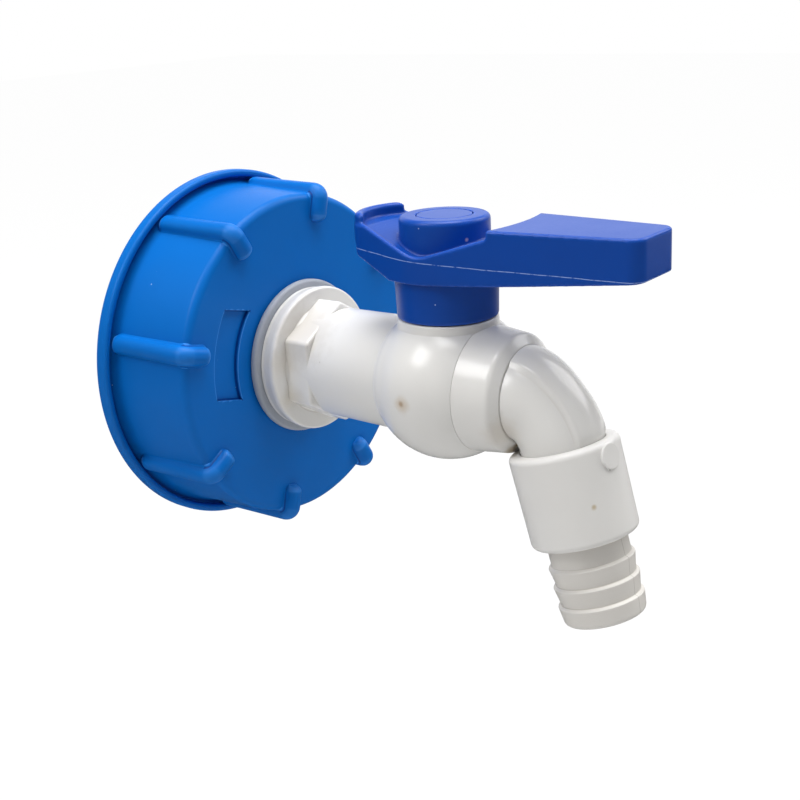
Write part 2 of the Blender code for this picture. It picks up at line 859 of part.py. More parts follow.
def make_end_piece():
    shell_start = body_end_x + seat_gap
    shell_inner = spigot_radius + seat_gap
    web = spigot_end_x + seat_gap
    nose_start = ball_centre_x + seat_back + seat_gap
    snap_end = snap_start_x + snap_length
    groove_low = end_ring_x - end_groove_half
    groove_high = end_ring_x + end_groove_half
    piece = lathe("end_piece", [
        (nose_start, flow_bore_radius, 0),
        (nose_start, nose_radius, 0),
        (groove_low, nose_radius, 0),
        (groove_low, end_groove_floor, 0),
        (groove_high, end_groove_floor, 0),
        (groove_high, nose_radius, 0),
        (web, nose_radius, 0),
        (web, shell_inner, 0),
        (shell_start, shell_inner, 0),
        (shell_start, end_piece_radius, body_edge),
        (end_piece_mid_x, end_piece_mid_radius, end_piece_round),
        (end_piece_end_x, end_piece_end_radius, end_piece_round / 2),
        (end_piece_end_x, socket_radius, 0),
        (snap_end, socket_radius, 0),
        (snap_end, snap_groove_radius, 0),
        (socket_start_x, snap_groove_radius, 0),
        (socket_start_x, flow_bore_radius, 0),
    ], middle_steps)
    paint(piece, "end_piece", body_white)


def make_end_ring():
    middle = end_groove_floor + ring_gap + end_ring_section
    ring = torus("end_ring", end_ring_x, middle, end_ring_section)
    paint(ring, "end_piece_o_ring", rubber_black)


# elbow

def elbow_length():
    """How far the elbow's threaded end reaches into the collar nut."""
    return nut_length - nut_lip - tail_flange_thick - tail_washer_thick - 3 * seat_gap


def bend_angles(banded):
    """Angles round the pipe, each with its rise; the band is raised on the outer side."""
    if not banded:
        return [(full_turn * index / small_steps, 0) for index in range(small_steps)]
    half = elbow_band_half_angle
    angles = []
    for index in range(band_steps + 1):
        angles.append((quarter_turn - half + 2 * half * index / band_steps, elbow_band_rise))
    start = quarter_turn + half + elbow_band_edge_angle
    rest = full_turn - 2 * half - 2 * elbow_band_edge_angle
    for index in range(rest_steps + 1):
        angles.append((start + rest * index / rest_steps, 0))
    return angles


def elbow_bend(radius, bend, end_radius, start_x, length, banded):
    """A bent pipe: from along X at start_x, round the bend and down the outlet axis."""
    turn = radians(quarter_turn - outlet_lean)
    reach = bend * tan(turn / 2)
    pivot = Vector((outlet_cross_x - reach, 0, -bend))
    down = outlet_direction()
    top = outlet_top()
    stations = []
    if start_x < pivot.x - small_step:
        stations.append((Vector((start_x, 0, 0)), Vector((0, 0, 1)), radius, 1))
    for index in range(bend_steps + 1):
        bent = turn * index / bend_steps
        outward = Vector((sin(bent), 0, cos(bent)))
        stations.append((pivot + outward * bend, outward, radius, 1))
    outward = Vector((sin(turn), 0, cos(turn)))
    stations.append((top - down * seat_gap, outward, radius, 1))
    stations.append((top - down * seat_gap / 4, outward, radius, 0))
    if end_radius < radius:
        stations.append((top + down * overlap, outward, radius, 0))
        stations.append((top + down * (overlap + seat_gap), outward, end_radius, 0))
    stations.append((top + down * length, outward, end_radius, 0))
    rings = []
    for centre, outward, size, raised in stations:
        ring = []
        for angle, rise in bend_angles(banded):
            arm = size + rise * raised
            across = Vector((0, arm * cos(radians(angle)), 0))
            ring.append(centre + outward * (arm * sin(radians(angle))) + across)
        rings.append(ring)
    return skin("bend", rings)


def elbow_outside():
    """The bent pipe, trimmed flat at the seam, on its round seam ring and spigot."""
    seam = end_piece_end_x + seat_gap
    pipe = elbow_bend(elbow_radius, elbow_bend_radius, elbow_end_radius, seam, elbow_length(), True)
    big = 2 * chamber_radius
    inside = seam + elbow_ring_thick / 2
    trim = box("trim", (inside - 2 * big, -big, -2 * big), (inside, big, big))
    cut(pipe, trim)
    return pipe


def elbow_spigot():
    seam = end_piece_end_x + seat_gap
    bead_start = snap_start_x + seat_gap
    bead_end = snap_start_x + snap_length - seat_gap
    outer = flow_bore_radius + elbow_spigot_wall
    low = elbow_groove_x - elbow_groove_half
    high = elbow_groove_x + elbow_groove_half
    return lathe("spigot", [
        (bead_start - seat_gap / 2, 0, 0),
        (bead_start - seat_gap / 2, outer, 0),
        (bead_start, outer + elbow_bead_rise, 0),
        (bead_end, outer + elbow_bead_rise, 0),
        (bead_end, outer, 0),
        (low, outer, 0),
        (low, elbow_groove_floor, 0),
        (high, elbow_groove_floor, 0),
        (high, outer, 0),
        (seam, outer, 0),
        (seam, elbow_ring_radius, 0),
        (seam + elbow_ring_thick, elbow_ring_radius, elbow_ring_edge),
        (seam + 2 * elbow_ring_thick, flow_bore_radius, 0),
        (seam + 2 * elbow_ring_thick, 0, 0),
    ], middle_steps, closed=False)


def elbow_thread():
    ridge = spiral("thread", (0, 0), elbow_end_radius, elbow_thread_crest, elbow_thread_base,
                   elbow_thread_top, elbow_thread_pitch, elbow_thread_start, elbow_thread_turns,
                   small_steps)
    ridge.data.transform(Matrix.Rotation(radians(quarter_turn - outlet_lean), 4, "Y"))
    ridge.data.transform(Matrix.Translation(outlet_top()))
    return ridge


def make_elbow():
    elbow = elbow_outside()
    join(elbow, elbow_spigot(), elbow_thread())
    bore = elbow_bend(flow_bore_radius, elbow_bore_bend, flow_bore_radius,
                      socket_start_x - overlap, elbow_length() + overlap, False)
    cut(elbow, bore)
    elbow.data.transform(Matrix.Translation((-end_piece_end_x, 0, 0)))
    elbow.location = (end_piece_end_x, 0, 0)
    paint(tidy(elbow), "elbow", spout_white)


def make_elbow_ring():
    middle = elbow_groove_floor + ring_gap + elbow_ring_section
    ring = torus("elbow_ring", elbow_groove_x, middle, elbow_ring_section)
    paint(ring, "elbow_o_ring", rubber_black)


# collar nut and hose tail

def nut_bore():
    return elbow_thread_crest + seat_gap


def make_collar_nut():
    lip_start = nut_length - nut_lip
    nut = lathe("nut", [
        (0, nut_bore(), 0),
        (0, nut_radius, nut_top_edge),
        (nut_length, nut_bottom_radius, nut_bottom_edge),
        (nut_length, tail_neck_radius + seat_gap, 0),
        (lip_start, tail_neck_radius + seat_gap, 0),
        (lip_start, nut_bore(), 0),
    ], middle_steps)
    gate = cylinder("gate", gate_radius, nut_bottom_radius - overlap, nut_radius + gate_rise, "z",
                    small_steps)
    gate.data.transform(Matrix.Translation((gate_down, 0, 0)))
    join(nut, gate)
    paint(on_outlet_axis(tidy(nut)), "collar_nut", spout_white)


def make_tail_washer():
    start = elbow_length() + seat_gap
    ring = lathe("tail_washer", [
        (start, tail_bore_radius, 0),
        (start, nut_bore() - seat_gap, 0),
        (start + tail_washer_thick, nut_bore() - seat_gap, 0),
        (start + tail_washer_thick, tail_bore_radius, 0),
    ], small_steps)
    paint(on_outlet_axis(ring), "hose_tail_washer", rubber_grey)


def make_hose_tail():
    flange_start = elbow_length() + tail_washer_thick + 2 * seat_gap
    flange_end = nut_length - nut_lip - seat_gap
    points = [
        (flange_start, tail_bore_radius, 0),
        (flange_start, nut_bore() - seat_gap, 0),
        (flange_end, nut_bore() - seat_gap, 0),
        (flange_end, tail_neck_radius, 0),
    ]
    for index in range(tail_barb_count):
        crest = tail_first_barb + tail_barb_pitch * index
        root = tail_neck_radius if index == 0 else tail_barb_root
        points.append((crest - tail_barb_lip, root, 0))
        points.append((crest, tail_barb_radius, tail_barb_lip / 3))
    points.append((tail_end, tail_barb_root, tail_end_edge))
    points.append((tail_end, tail_bore_radius, 0))
    paint(on_outlet_axis(lathe("tail", points, middle_steps)), "hose_tail", spout_white)


# lever

def lever_plan(inset=0.0):
    """The lever seen from above: arc-ended tail, wide hub, tapering grip."""
    points = []
    bulge = tail_bulge
    chord = tail_tip_w - inset
    arc_radius = (chord ** 2 + bulge ** 2) / (2 * bulge)
    half = asin(chord / arc_radius)
    for step in range(2 * arc_steps + 1):
        angle = half - half * step / arc_steps
        along = -(tail_tip_s - inset) - bulge + arc_radius * (1 - cos(angle))
        points.append((along, arc_radius * sin(angle), 0))
    points.append((valley_start_s, -(hub_half_width - inset), hub_half_width))
    points.append((root_s, -(root_half_width - inset), 0))
    points.append((grip_end_s - inset, -(grip_end_half_width - inset), grip_corner))
    points.append((grip_end_s - inset, grip_end_half_width - inset, grip_corner))
    points.append((root_s, root_half_width - inset, 0))
    points.append((valley_start_s, hub_half_width - inset, hub_half_width))
    return rounded(points)


def tail_slope_z(s):
    share = (valley_start_s - s) / (valley_start_s + tail_tip_s)
    return valley_z + (tail_floor_z - valley_z) * share


def ramp_slope_z(s):
    share = (s - valley_end_s) / (ramp_s - valley_end_s)
    return valley_z + (ramp_z - valley_z) * share


def lever_side():
    """The lever seen from the side, with the valley at the hub."""
    far = tail_tip_s + tail_bulge + overlap
    under_slope = (grip_under_z - root_under_z) / (grip_end_s - root_s)
    return rounded([
        (-far, tail_under_z, 0),
        (-tail_tip_s, tail_under_z, 0),
        (valley_start_s - hub_half_width / 2, lever_floor_z, boss_edge),
        (valley_end_s, lever_floor_z, 0),
        (root_s, root_under_z, 0),
        (grip_end_s + overlap, grip_under_z + under_slope * overlap, 0),
        (grip_end_s + overlap, grip_top_z, 0),
        (-far, grip_top_z, 0),
    ])


def floor_cutter(name, drop, high):
    """Clears the space above the two sloping floors, dropped by some depth."""
    far = tail_tip_s + tail_bulge + overlap
    edge = grip_start_s + 2 * overlap
    wide = hub_half_width + 2 * overlap
    side = rounded([
        (-far, tail_slope_z(-far) - drop, 0),
        (valley_start_s, valley_z - drop, boss_edge * 2),
        (valley_end_s, valley_z - drop, boss_edge * 2),
        (edge, ramp_slope_z(edge) - drop, 0),
        (edge, high, 0),
        (-far, high, 0),
    ])
    return prism(name, side, -wide, wide, "xz")


def lever_valley():
    """The valley round the boss: its floor lies a little below the rim, and an arc ends it at the grip."""
    high = boss_top_z + 4 * overlap
    valley = floor_cutter("valley", 0, high)
    floor = floor_cutter("floor", rim_depth, high - overlap)
    common(floor, prism("inside", lever_plan(rim_wall), 0, high + overlap))
    join(valley, floor)
    end = cylinder("arc_end", grip_arc_radius, 0, high + 2 * overlap, "z", 2 * large_steps)
    end.data.transform(Matrix.Translation((grip_start_s - grip_arc_radius, 0, 0)))
    return common(valley, end)


def lever_lip():
    """The raised lip round the end of the tail: a round-topped ridge along its arc."""
    arc_radius = (tail_tip_w ** 2 + tail_bulge ** 2) / (2 * tail_bulge)
    pivot = arc_radius - tail_tip_s - tail_bulge
    half = asin(tail_tip_w / arc_radius) * lip_share
    middle = arc_radius - lip_width / 2 - small_step
    rings = []
    for step in range(2 * lip_steps + 1):
        angle = -half + half * step / lip_steps
        share = lip_end_share if step in (0, 2 * lip_steps) else 1.0
        away = Vector((-cos(angle), sin(angle), 0))
        across = lip_width / 2 * share
        shoulder = lip_height * lip_shoulder_share
        narrow = across * lip_shoulder_share
        shape = [(across, -lip_height), (across, shoulder), (narrow, lip_height * share),
                 (-narrow, lip_height * share), (-across, shoulder), (-across, -lip_height)]
        rings.append([Vector((pivot, 0, tail_floor_z + up)) + away * (middle + out) for out, up in shape])
    return skin("lip", rings)


def lever_hollow():
    """Pockets on the grip's underside, between its cross ribs."""
    pockets = []
    start = shell_start_s
    while start + shell_rib_pitch - shell_rib < grip_end_s - shell_wall:
        end = min(start + shell_rib_pitch - shell_rib, grip_end_s - shell_wall)
        pocket = prism("pocket", lever_plan(shell_wall), 0, grip_top_z - shell_roof)
        big = 2 * grip_end_s
        common(pocket, box("part", (start, -big, -overlap), (end, big, big)))
        pockets.append(pocket)
        start = start + shell_rib_pitch
    return pockets


def lever_boss():
    return lathe("boss", [
        (skirt_bottom_z, 0, 0),
        (skirt_bottom_z, skirt_radius, plug_edge),
        (lever_floor_z, skirt_top_radius, 0),
        (lever_floor_z + overlap, skirt_top_radius, 0),
        (lever_floor_z + overlap, boss_radius, 0),
        (boss_top_z, boss_radius, boss_edge),
        (boss_top_z, 0, 0),
    ], middle_steps, "z", closed=False)


def lever_inside():
    """Skirt cavity, square hole, screw hole and the hole for the plug."""
    half = stem_square / 2 + seat_gap
    cavity = cylinder("cavity", skirt_bore, skirt_bottom_z - overlap, skirt_roof_z, "z", middle_steps)
    square = box("square", (-half, -half, skirt_roof_z - overlap), (half, half, square_hole_top_z))
    hole = cylinder("hole", screw_hole_radius, square_hole_top_z - overlap, web_top_z + overlap,
                    "z", small_steps)
    recess = cylinder("recess", plug_hole_radius, web_top_z, boss_top_z + overlap, "z", middle_steps)
    return [cavity, square, hole, recess]


def lever_stop_rib():
    return sector("stop_rib", core_radius + seat_gap, skirt_bore + overlap,
                  quarter_turn - stop_half_angle, quarter_turn + stop_half_angle,
                  neck_top_z + 3 * seat_gap, skirt_roof_z + overlap)


def make_handle():
    lever = prism("lever", lever_plan(), lever_floor_z - overlap, grip_top_z + overlap)
    side = prism("side", lever_side(), -2 * hub_half_width, 2 * hub_half_width, "xz")
    common(lever, side)
    cut(lever, lever_valley())
    join(lever, lever_lip())
    cut(lever, *lever_hollow())
    join(lever, lever_boss())
    cut(lever, *lever_inside())
    join(lever, lever_stop_rib())
    paint(on_lever_axis(tidy(lever)), "handle", lever_blue)


def make_screw():
    seat = web_top_z + seat_gap
    screw = lathe("screw", [
        (seat - screw_length, 0, 0),
        (seat - screw_length, screw_shank_radius, 0),
        (seat, screw_shank_radius, 0),
        (seat, screw_head_radius, 0),
        (seat + screw_head_height, screw_head_radius, screw_head_edge),
        (seat + screw_head_height, 0, 0),
    ], small_steps, "z", closed=False)
    top = seat + screw_head_height
    floor = top - screw_cross_depth
    long = screw_cross_length / 2
    thin = screw_cross_width / 2
    cut(screw, box("cross_a", (-long, -thin, floor), (long, thin, top + overlap)))
    cut(screw, box("cross_b", (-thin, -long, floor), (thin, long, top + overlap)))
    paint(on_lever_axis(tidy(screw)), "handle_screw", steel_grey)


def make_plug():
    low = web_top_z + seat_gap
    plug = lathe("plug", [
        (boss_top_z - plug_plate, 0, 0),
        (boss_top_z - plug_plate, plug_radius - plug_wall, 0),
        (low, plug_radius - plug_wall, 0),
        (low, plug_radius, 0),
        (boss_top_z, plug_radius, plug_edge),
        (boss_top_z, 0, 0),
    ], middle_steps, "z", closed=False)
    paint(on_lever_axis(tidy(plug)), "handle_plug", plug_blue)


def main():
    clear_scene()
    make_cap()
    make_gasket()
    make_flange_washer()
    make_body()
    seat_ring("seat_inlet", -1)
    seat_ring("seat_outlet", 1)
    make_ball()
    make_stem()
    make_thrust_washer()
    stem_ring("stem_o_ring_lower", stem_ring_lower_z)
    stem_ring("stem_o_ring_upper", stem_ring_upper_z)
    make_end_piece()
    make_end_ring()
    make_elbow()
    make_elbow_ring()
    make_collar_nut()
    make_tail_washer()
    make_hose_tail()
    make_handle()
    make_screw()
    make_plug()


main()
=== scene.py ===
from math import acos, asin, cos, pi, radians, sin, sqrt, tan

import bmesh
import bpy
import numpy as np
from mathutils import Matrix, Vector


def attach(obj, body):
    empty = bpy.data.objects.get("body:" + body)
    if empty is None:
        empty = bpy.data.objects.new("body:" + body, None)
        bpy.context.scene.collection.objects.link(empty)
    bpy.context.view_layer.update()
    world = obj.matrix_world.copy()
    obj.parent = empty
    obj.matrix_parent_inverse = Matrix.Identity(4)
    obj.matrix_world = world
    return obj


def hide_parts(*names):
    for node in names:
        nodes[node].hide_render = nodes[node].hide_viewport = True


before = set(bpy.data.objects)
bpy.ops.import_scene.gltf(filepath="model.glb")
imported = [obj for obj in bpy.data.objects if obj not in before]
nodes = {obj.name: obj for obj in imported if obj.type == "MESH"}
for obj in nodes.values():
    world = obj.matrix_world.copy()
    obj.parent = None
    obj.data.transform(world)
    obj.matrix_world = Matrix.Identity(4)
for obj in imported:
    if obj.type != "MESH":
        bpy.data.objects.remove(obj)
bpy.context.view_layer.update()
print("frame loaded with", len(nodes), "nodes")

# all sizes below are in millimetres; pieces are scaled to metres when they are finished
mm = 0.001

layout = {
    "ballX": 66.75,        # axis of the lever, the stem and the ball
    "leverTurn": 2.6,      # how far the lever stands off straight, degrees
    "outletX": 92.1,       # where the spout's axis meets the tap's axis
    "outletLean": 15.6,
    "collarDrop": 9.6,
    "gap": 0.3,
}


# a socket that can be used in sums
class Wire:
    def __init__(self, board, socket):
        self.board = board
        self.socket = socket

    def sum(self, operation, *others):
        inputs = {0: self}
        for place, other in enumerate(others):
            inputs[place + 1] = other
        return self.board.node("ShaderNodeMath", {"operation": operation}, inputs)

    def __add__(self, other):
        return self.sum("ADD", other)

    __radd__ = __add__

    def __sub__(self, other):
        return self.sum("SUBTRACT", other)

    def __rsub__(self, other):
        return self.sum("MULTIPLY_ADD", -1.0, other)

    def __mul__(self, other):
        return self.sum("MULTIPLY", other)

    __rmul__ = __mul__

    def __truediv__(self, other):
        return self.sum("DIVIDE", other)

    def __rtruediv__(self, other):
        return self.board.node("ShaderNodeMath", {"operation": "DIVIDE"}, {0: other, 1: self})

    def __neg__(self):
        return self.sum("MULTIPLY", -1.0)

    def size(self):
        return self.sum("ABSOLUTE")

    def root(self):
        return self.sum("SQRT")

    def atLeast(self, other):
        return self.sum("MAXIMUM", other)

    def atMost(self, other):
        return self.sum("MINIMUM", other)


# a node tree that nodes are laid on
class Board:
    def __init__(self, tree):
        self.tree = tree

    def node(self, kind, settings=None, inputs=None, output=0):
        made = self.tree.nodes.new(kind)
        for key, value in (settings or {}).items():
            setattr(made, key, value)
        for key, value in (inputs or {}).items():
            if isinstance(key, int):
                socket = made.inputs[key]
            else:
                socket = next(s for s in made.inputs if s.name == key and s.enabled)
            if isinstance(value, Wire):
                self.join(value, socket)
            else:
                socket.default_value = value
        if isinstance(output, int):
            found = made.outputs[output] if made.outputs else None
        else:
            found = next(s for s in made.outputs if s.name == output and s.enabled)
        return Wire(self, found)

    def join(self, wire, socket):
        self.tree.links.new(wire.socket, socket)

    def axis(self, vector, letter):
        return self.node("ShaderNodeSeparateXYZ", {}, {"Vector": vector}, letter)

    def step(self, value, low, high):
        return self.node("ShaderNodeMapRange", {"interpolation_type": "SMOOTHSTEP"},
                         {"Value": value, "From Min": low, "From Max": high, "To Min": 0.0, "To Max": 1.0})

    def blend(self, share, first, second):
        return self.node("ShaderNodeMix", {"data_type": "RGBA"}, {"Factor": share, "A": first, "B": second},
                         "Result")


def distanceTo(board, coords, spot):
    return board.node("ShaderNodeVectorMath", {"operation": "DISTANCE"},
                      {0: coords, 1: [v * mm for v in spot]}, "Value")


plasticDefaults = {
    "shade": None,          # colour of the faint darker clouds
    "cloudScale": 45.0,
    "cloudShare": 0.25,
    "rough": 0.35,
    "roughSpread": 0.10,
    "grainScale": 1500.0,
    "grainDepth": 0.0015,
    "waveScale": 120.0,
    "waveDepth": 0.02,
    "edge": None,           # lighter colour on rounded outer edges: painted highlight, partly rubbed wear
    "edgeWearAndHighlightShare": 0.35,
    "corner": None,         # darker colour in inner corners: painted shade, partly dirt
    "cornerShadeAndDirtShare": 0.4,
    "cornerShadeAndDirtReach": 0.5,     # bend at which that colour is full
    "dust": None,           # colour of fine specks
    "dustScale": 520.0,
    "dustShare": 0.35,
    "stainsAndPaintedShade": (),           # (spot, radius, colour, strength): stains, and on the white body painted shade too
    "lines": (),            # ((x, z, slope before, slope after), half width, colour, strength)
    "parting": (),          # (y, half width, colour, strength) of the mould's thin line
    "sheen": 0.4,
}


def rgba(colour):
    return (*colour, 1.0)


# a new material, the board its nodes are laid on and its shader
def newMaterial(name):
    material = bpy.data.materials.new(name)
    material.use_nodes = True
    return material, Board(material.node_tree), material.node_tree.nodes["Principled BSDF"]


def plastic(name, colour, **changes):
    look = {**plasticDefaults, **changes}
    material, board, shader = newMaterial(name)
    coords = board.node("ShaderNodeTexCoord", output="Object")

    def noise(scale, detail=2.0, roughness=0.5, seed=0.0):
        return board.node("ShaderNodeTexNoise", {"noise_dimensions": "4D"},
                          {"Vector": coords, "W": seed, "Scale": scale, "Detail": detail, "Roughness": roughness})

    cloud = board.step(noise(look["cloudScale"], 3.0, 0.55), 0.35, 0.70)
    grain = noise(look["grainScale"], 2.0, 0.5, 3.0)
    wave = noise(look["waveScale"], 1.0, 0.4, 5.0)
    tint = board.blend(cloud * look["cloudShare"], rgba(colour), rgba(look["shade"] or colour))
    rough = (grain - 0.5) * look["roughSpread"] + (cloud * 0.04 + look["rough"])

    bend = board.node("ShaderNodeAttribute", {"attribute_name": "bend"}, output="Fac")
    # rounded outer edges turn lighter and speckled: painted highlight, partly rubbed wear
    if look["edge"]:
        edgeWearAndHighlight = board.step(bend, 0.15, 0.9) * (noise(220.0, 4.0, 0.6, 1.0) * 0.9 + 0.35) * look["edgeWearAndHighlightShare"]
        tint = board.blend(edgeWearAndHighlight, tint, rgba(look["edge"]))
    # inner corners turn darker: painted shade, partly dirt
    if look["corner"]:
        cornerShadeAndDirt = board.step(-bend, 0.04, look["cornerShadeAndDirtReach"]) * look["cornerShadeAndDirtShare"]
        tint = board.blend(cornerShadeAndDirt, tint, rgba(look["corner"]))
    if look["dust"]:
        cells = {"Vector": coords, "Scale": look["dustScale"], "Randomness": 1.0}
        near = board.node("ShaderNodeTexVoronoi", {}, cells, "Distance")
        pick = board.node("ShaderNodeTexVoronoi", {}, cells, "Color")
        chance = board.node("ShaderNodeSeparateColor", {}, {"Color": pick}, "Red")
        size = board.node("ShaderNodeSeparateColor", {}, {"Color": pick}, "Green") * 0.07 + 0.02
        speck = board.step(size - near, -0.02, 0.02) * board.step(chance, 1.0 - 0.045 * look["dustShare"],
                                                                  1.0 - 0.03 * look["dustShare"])
        tint = board.blend(speck * 0.8, tint, rgba(look["dust"]))
        rough = rough + speck * 0.3
    # each patch is a stain, except the three round the white body's hex, which are painted shade
    for spot, radius, shadeColour, strength in look["stainsAndPaintedShade"]:
        ragged = noise(420.0, 3.0, 0.6, spot[0]) * 0.9 + 0.55
        mask = board.step(distanceTo(board, coords, spot) * ragged, radius * mm, radius * 0.15 * mm) * strength
        tint = board.blend(mask, tint, rgba(shadeColour))
    if look["lines"]:
        place = board.axis(coords, "Z")
        along = board.axis(coords, "X")
        for (startX, startZ, slope, endSlope), half, shadeColour, strength in look["lines"]:
            wander = (noise(160.0, 2.0, 0.5, 8.0) - 0.5) * 0.0003
            run = along - startX * mm
            height = (run * slope).atLeast(run * endSlope) + startZ * mm
            off = (place - height + wander).size()
            thick = noise(900.0, 2.0, 0.6, 9.0) * 1.3 + 0.35
            mask = board.step(off, half * mm, half * 0.45 * mm) * board.step(thick, 0.72, 1.02) * strength
            tint = board.blend(mask, tint, rgba(shadeColour))
    for across, half, shadeColour, strength in look["parting"]:
        place = board.axis(coords, "Y")
        broken = board.step(noise(260.0, 2.0, 0.6, 6.0), 0.36, 0.50)
        mask = board.step((place - across * mm).size(), half * 1.5 * mm, half * 0.6 * mm) * broken * strength
        tint = board.blend(mask, tint, rgba(shadeColour))

    height = grain * (look["grainDepth"] * mm) + wave * (look["waveDepth"] * mm)
    normal = board.node("ShaderNodeBump", {}, {"Strength": 1.0, "Distance": 1.0, "Height": height})
    board.join(tint, shader.inputs["Base Color"])
    board.join(rough, shader.inputs["Roughness"])
    board.join(normal, shader.inputs["Normal"])
    shader.inputs["Specular IOR Level"].default_value = look["sheen"]
    return material


def brushedSteel(name):
    material, board, shader = newMaterial(name)
    coords = board.node("ShaderNodeTexCoord", output="Object")
    fine = board.node("ShaderNodeTexNoise", {}, {"Vector": coords, "Scale": 2400.0, "Detail": 3.0})
    tint = board.blend(fine, (0.50, 0.50, 0.52, 1.0), (0.62, 0.62, 0.62, 1.0))
    board.join(tint, shader.inputs["Base Color"])
    board.join(fine * 0.25 + 0.22, shader.inputs["Roughness"])
    shader.inputs["Metallic"].default_value = 1.0
    return material


# what the white mouldings share
whiteWear = {"dust": (0.30, 0.27, 0.24), "dustScale": 300.0, "waveDepth": 0.05, "sheen": 0.5}
# roughness stays well off 0.27, where the denoiser changes its ways and leaves patches
# each edge colour is painted highlight on rounded edges, partly wear; each corner colour is painted shade in inner
# corners, partly dirt
looks = {
    "capBlue": dict(
        colour=(0.001, 0.130, 0.490), shade=(0.001, 0.106, 0.400), rough=0.36, sheen=0.12,
        # edge: painted highlight along the drum's rounded corner and the ribs, partly rubbed wear
        edge=(0.08, 0.33, 0.86), edgeWearAndHighlightShare=0.7,
        # corner: painted shade in the flange's valley and round the recess
        corner=(0.001, 0.045, 0.25), cornerShadeAndDirtShare=0.9, cornerShadeAndDirtReach=0.26,
        dust=(0.45, 0.62, 0.90), dustShare=1.2, grainDepth=0.005, waveDepth=0.04),
    "leverBlue": dict(
        colour=(0.001, 0.055, 0.335), shade=(0.001, 0.046, 0.285), rough=0.33,
        roughSpread=0.07, sheen=0.28, edge=(0.02, 0.10, 0.55), edgeWearAndHighlightShare=0.4,
        corner=(0.004, 0.022, 0.22),
        dust=(0.50, 0.60, 0.85), dustShare=1.6, grainDepth=0.004, waveDepth=0.04,
        stainsAndPaintedShade=(((75.29, -4.19, 32.08), 0.55, (0.55, 0.38, 0.42), 0.8),),
        lines=(((74.0, 27.95, -0.045, -0.016), 0.10, (0.30, 0.42, 0.75), 0.85),)),
    "bodyWhite": dict(
        colour=(0.740, 0.730, 0.708), shade=(0.715, 0.695, 0.660), rough=0.18, roughSpread=0.04,
        edge=(0.80, 0.79, 0.77), edgeWearAndHighlightShare=0.4, corner=(0.50, 0.46, 0.40), cornerShadeAndDirtShare=0.6,
        dustShare=0.5, **whiteWear,
        stainsAndPaintedShade=(((66.51, -16.63, -0.81), 2.6, (0.55, 0.43, 0.30), 0.55),
                ((85.80, -9.00, -5.50), 5.5, (0.52, 0.44, 0.34), 0.35),
                # the next three are painted warm shade over the hex, the groove by the disc and the top by the cap
                ((32.00, -12.30, -6.50), 4.5, (0.58, 0.52, 0.42), 0.45),
                ((30.10, -14.20, 2.50), 5.0, (0.60, 0.55, 0.47), 0.40),
                ((33.00, -8.50, 8.50), 11.0, (0.55, 0.52, 0.475), 0.75),
                ((66.30, -16.70, -0.60), 0.9, (0.36, 0.24, 0.14), 0.7),
                ((36.23, -11.48, 4.69), 0.35, (0.55, 0.15, 0.12), 0.8),
                ((84.60, -4.30, -10.90), 2.4, (0.42, 0.32, 0.17), 0.75),
                ((86.20, -3.60, -9.90), 1.5, (0.20, 0.14, 0.07), 0.85))),
    "spoutWhite": dict(
        colour=(0.755, 0.743, 0.720), shade=(0.690, 0.668, 0.635), rough=0.31, roughSpread=0.03,
        edge=(0.80, 0.79, 0.76), edgeWearAndHighlightShare=0.25, corner=(0.44, 0.40, 0.34), cornerShadeAndDirtShare=0.6,
        dustShare=0.6, **whiteWear,
        stainsAndPaintedShade=(((106.24, -7.24, -18.07), 0.8, (0.45, 0.34, 0.16), 0.7),
                ((106.73, -2.65, -10.85), 0.28, (0.10, 0.08, 0.07), 0.9),
                ((107.04, -2.41, -11.71), 0.22, (0.10, 0.08, 0.07), 0.9))),
    "tailWhite": dict(
        colour=(0.700, 0.675, 0.635), shade=(0.655, 0.620, 0.570), rough=0.32, roughSpread=0.04,
        edge=(0.80, 0.79, 0.76), edgeWearAndHighlightShare=0.35, corner=(0.44, 0.40, 0.34), cornerShadeAndDirtShare=0.7,
        dustShare=0.5, **whiteWear, parting=((-0.25, 0.05, (0.30, 0.27, 0.23), 0.75),)),
    "washerGrey": dict(
        colour=(0.345, 0.370, 0.420), shade=(0.310, 0.335, 0.385), rough=0.45,
        corner=(0.36, 0.37, 0.40)),
    "sealWhite": dict(
        colour=(0.830, 0.830, 0.810), shade=(0.78, 0.78, 0.76), rough=0.35),
    "rubberBlack": dict(
        colour=(0.022, 0.022, 0.024), shade=(0.035, 0.035, 0.036), rough=0.62),
    "rubberGrey": dict(
        colour=(0.090, 0.090, 0.095), shade=(0.07, 0.07, 0.07), rough=0.7),
}
finishes = {name: plastic(name, **look) for name, look in looks.items()}
finishes["screwSteel"] = brushedSteel("screwSteel")
print("finishes made:", len(finishes))


# rounds the corners of (along, across, radius) points and holds the flats beside them
def roundOutline(points, closed=True, steps=6, hold=0.12):
    result = []
    count = len(points)
    for place, (a, b, corner) in enumerate(points):
        here = Vector((a, b))
        if corner <= 0 or (not closed and place in (0, count - 1)):
            result.append(here)
            continue
        before = Vector(points[place - 1][:2]) - here
        after = Vector(points[(place + 1) % count][:2]) - here
        half = before.angle(after) / 2
        reach = min(corner / tan(half), before.length * 0.47, after.length * 0.47)
        start = here + before.normalized() * reach
        centre = here + (before.normalized() + after.normalized()).normalized() * (reach / cos(half))
        first = start - centre
        sweep = first.angle_signed(here + after.normalized() * reach - centre)
        if before.length > 2 * reach + 3 * hold:
            result.append(start + before.normalized() * hold)
        for step in range(steps + 1):
            arm = first.copy()
            arm.rotate(Matrix.Rotation(-sweep * step / steps, 2))
            result.append(centre + arm)
        if after.length > 2 * reach + 3 * hold:
            result.append(centre + arm + after.normalized() * hold)
    return [(p.x, p.y) for p in result]


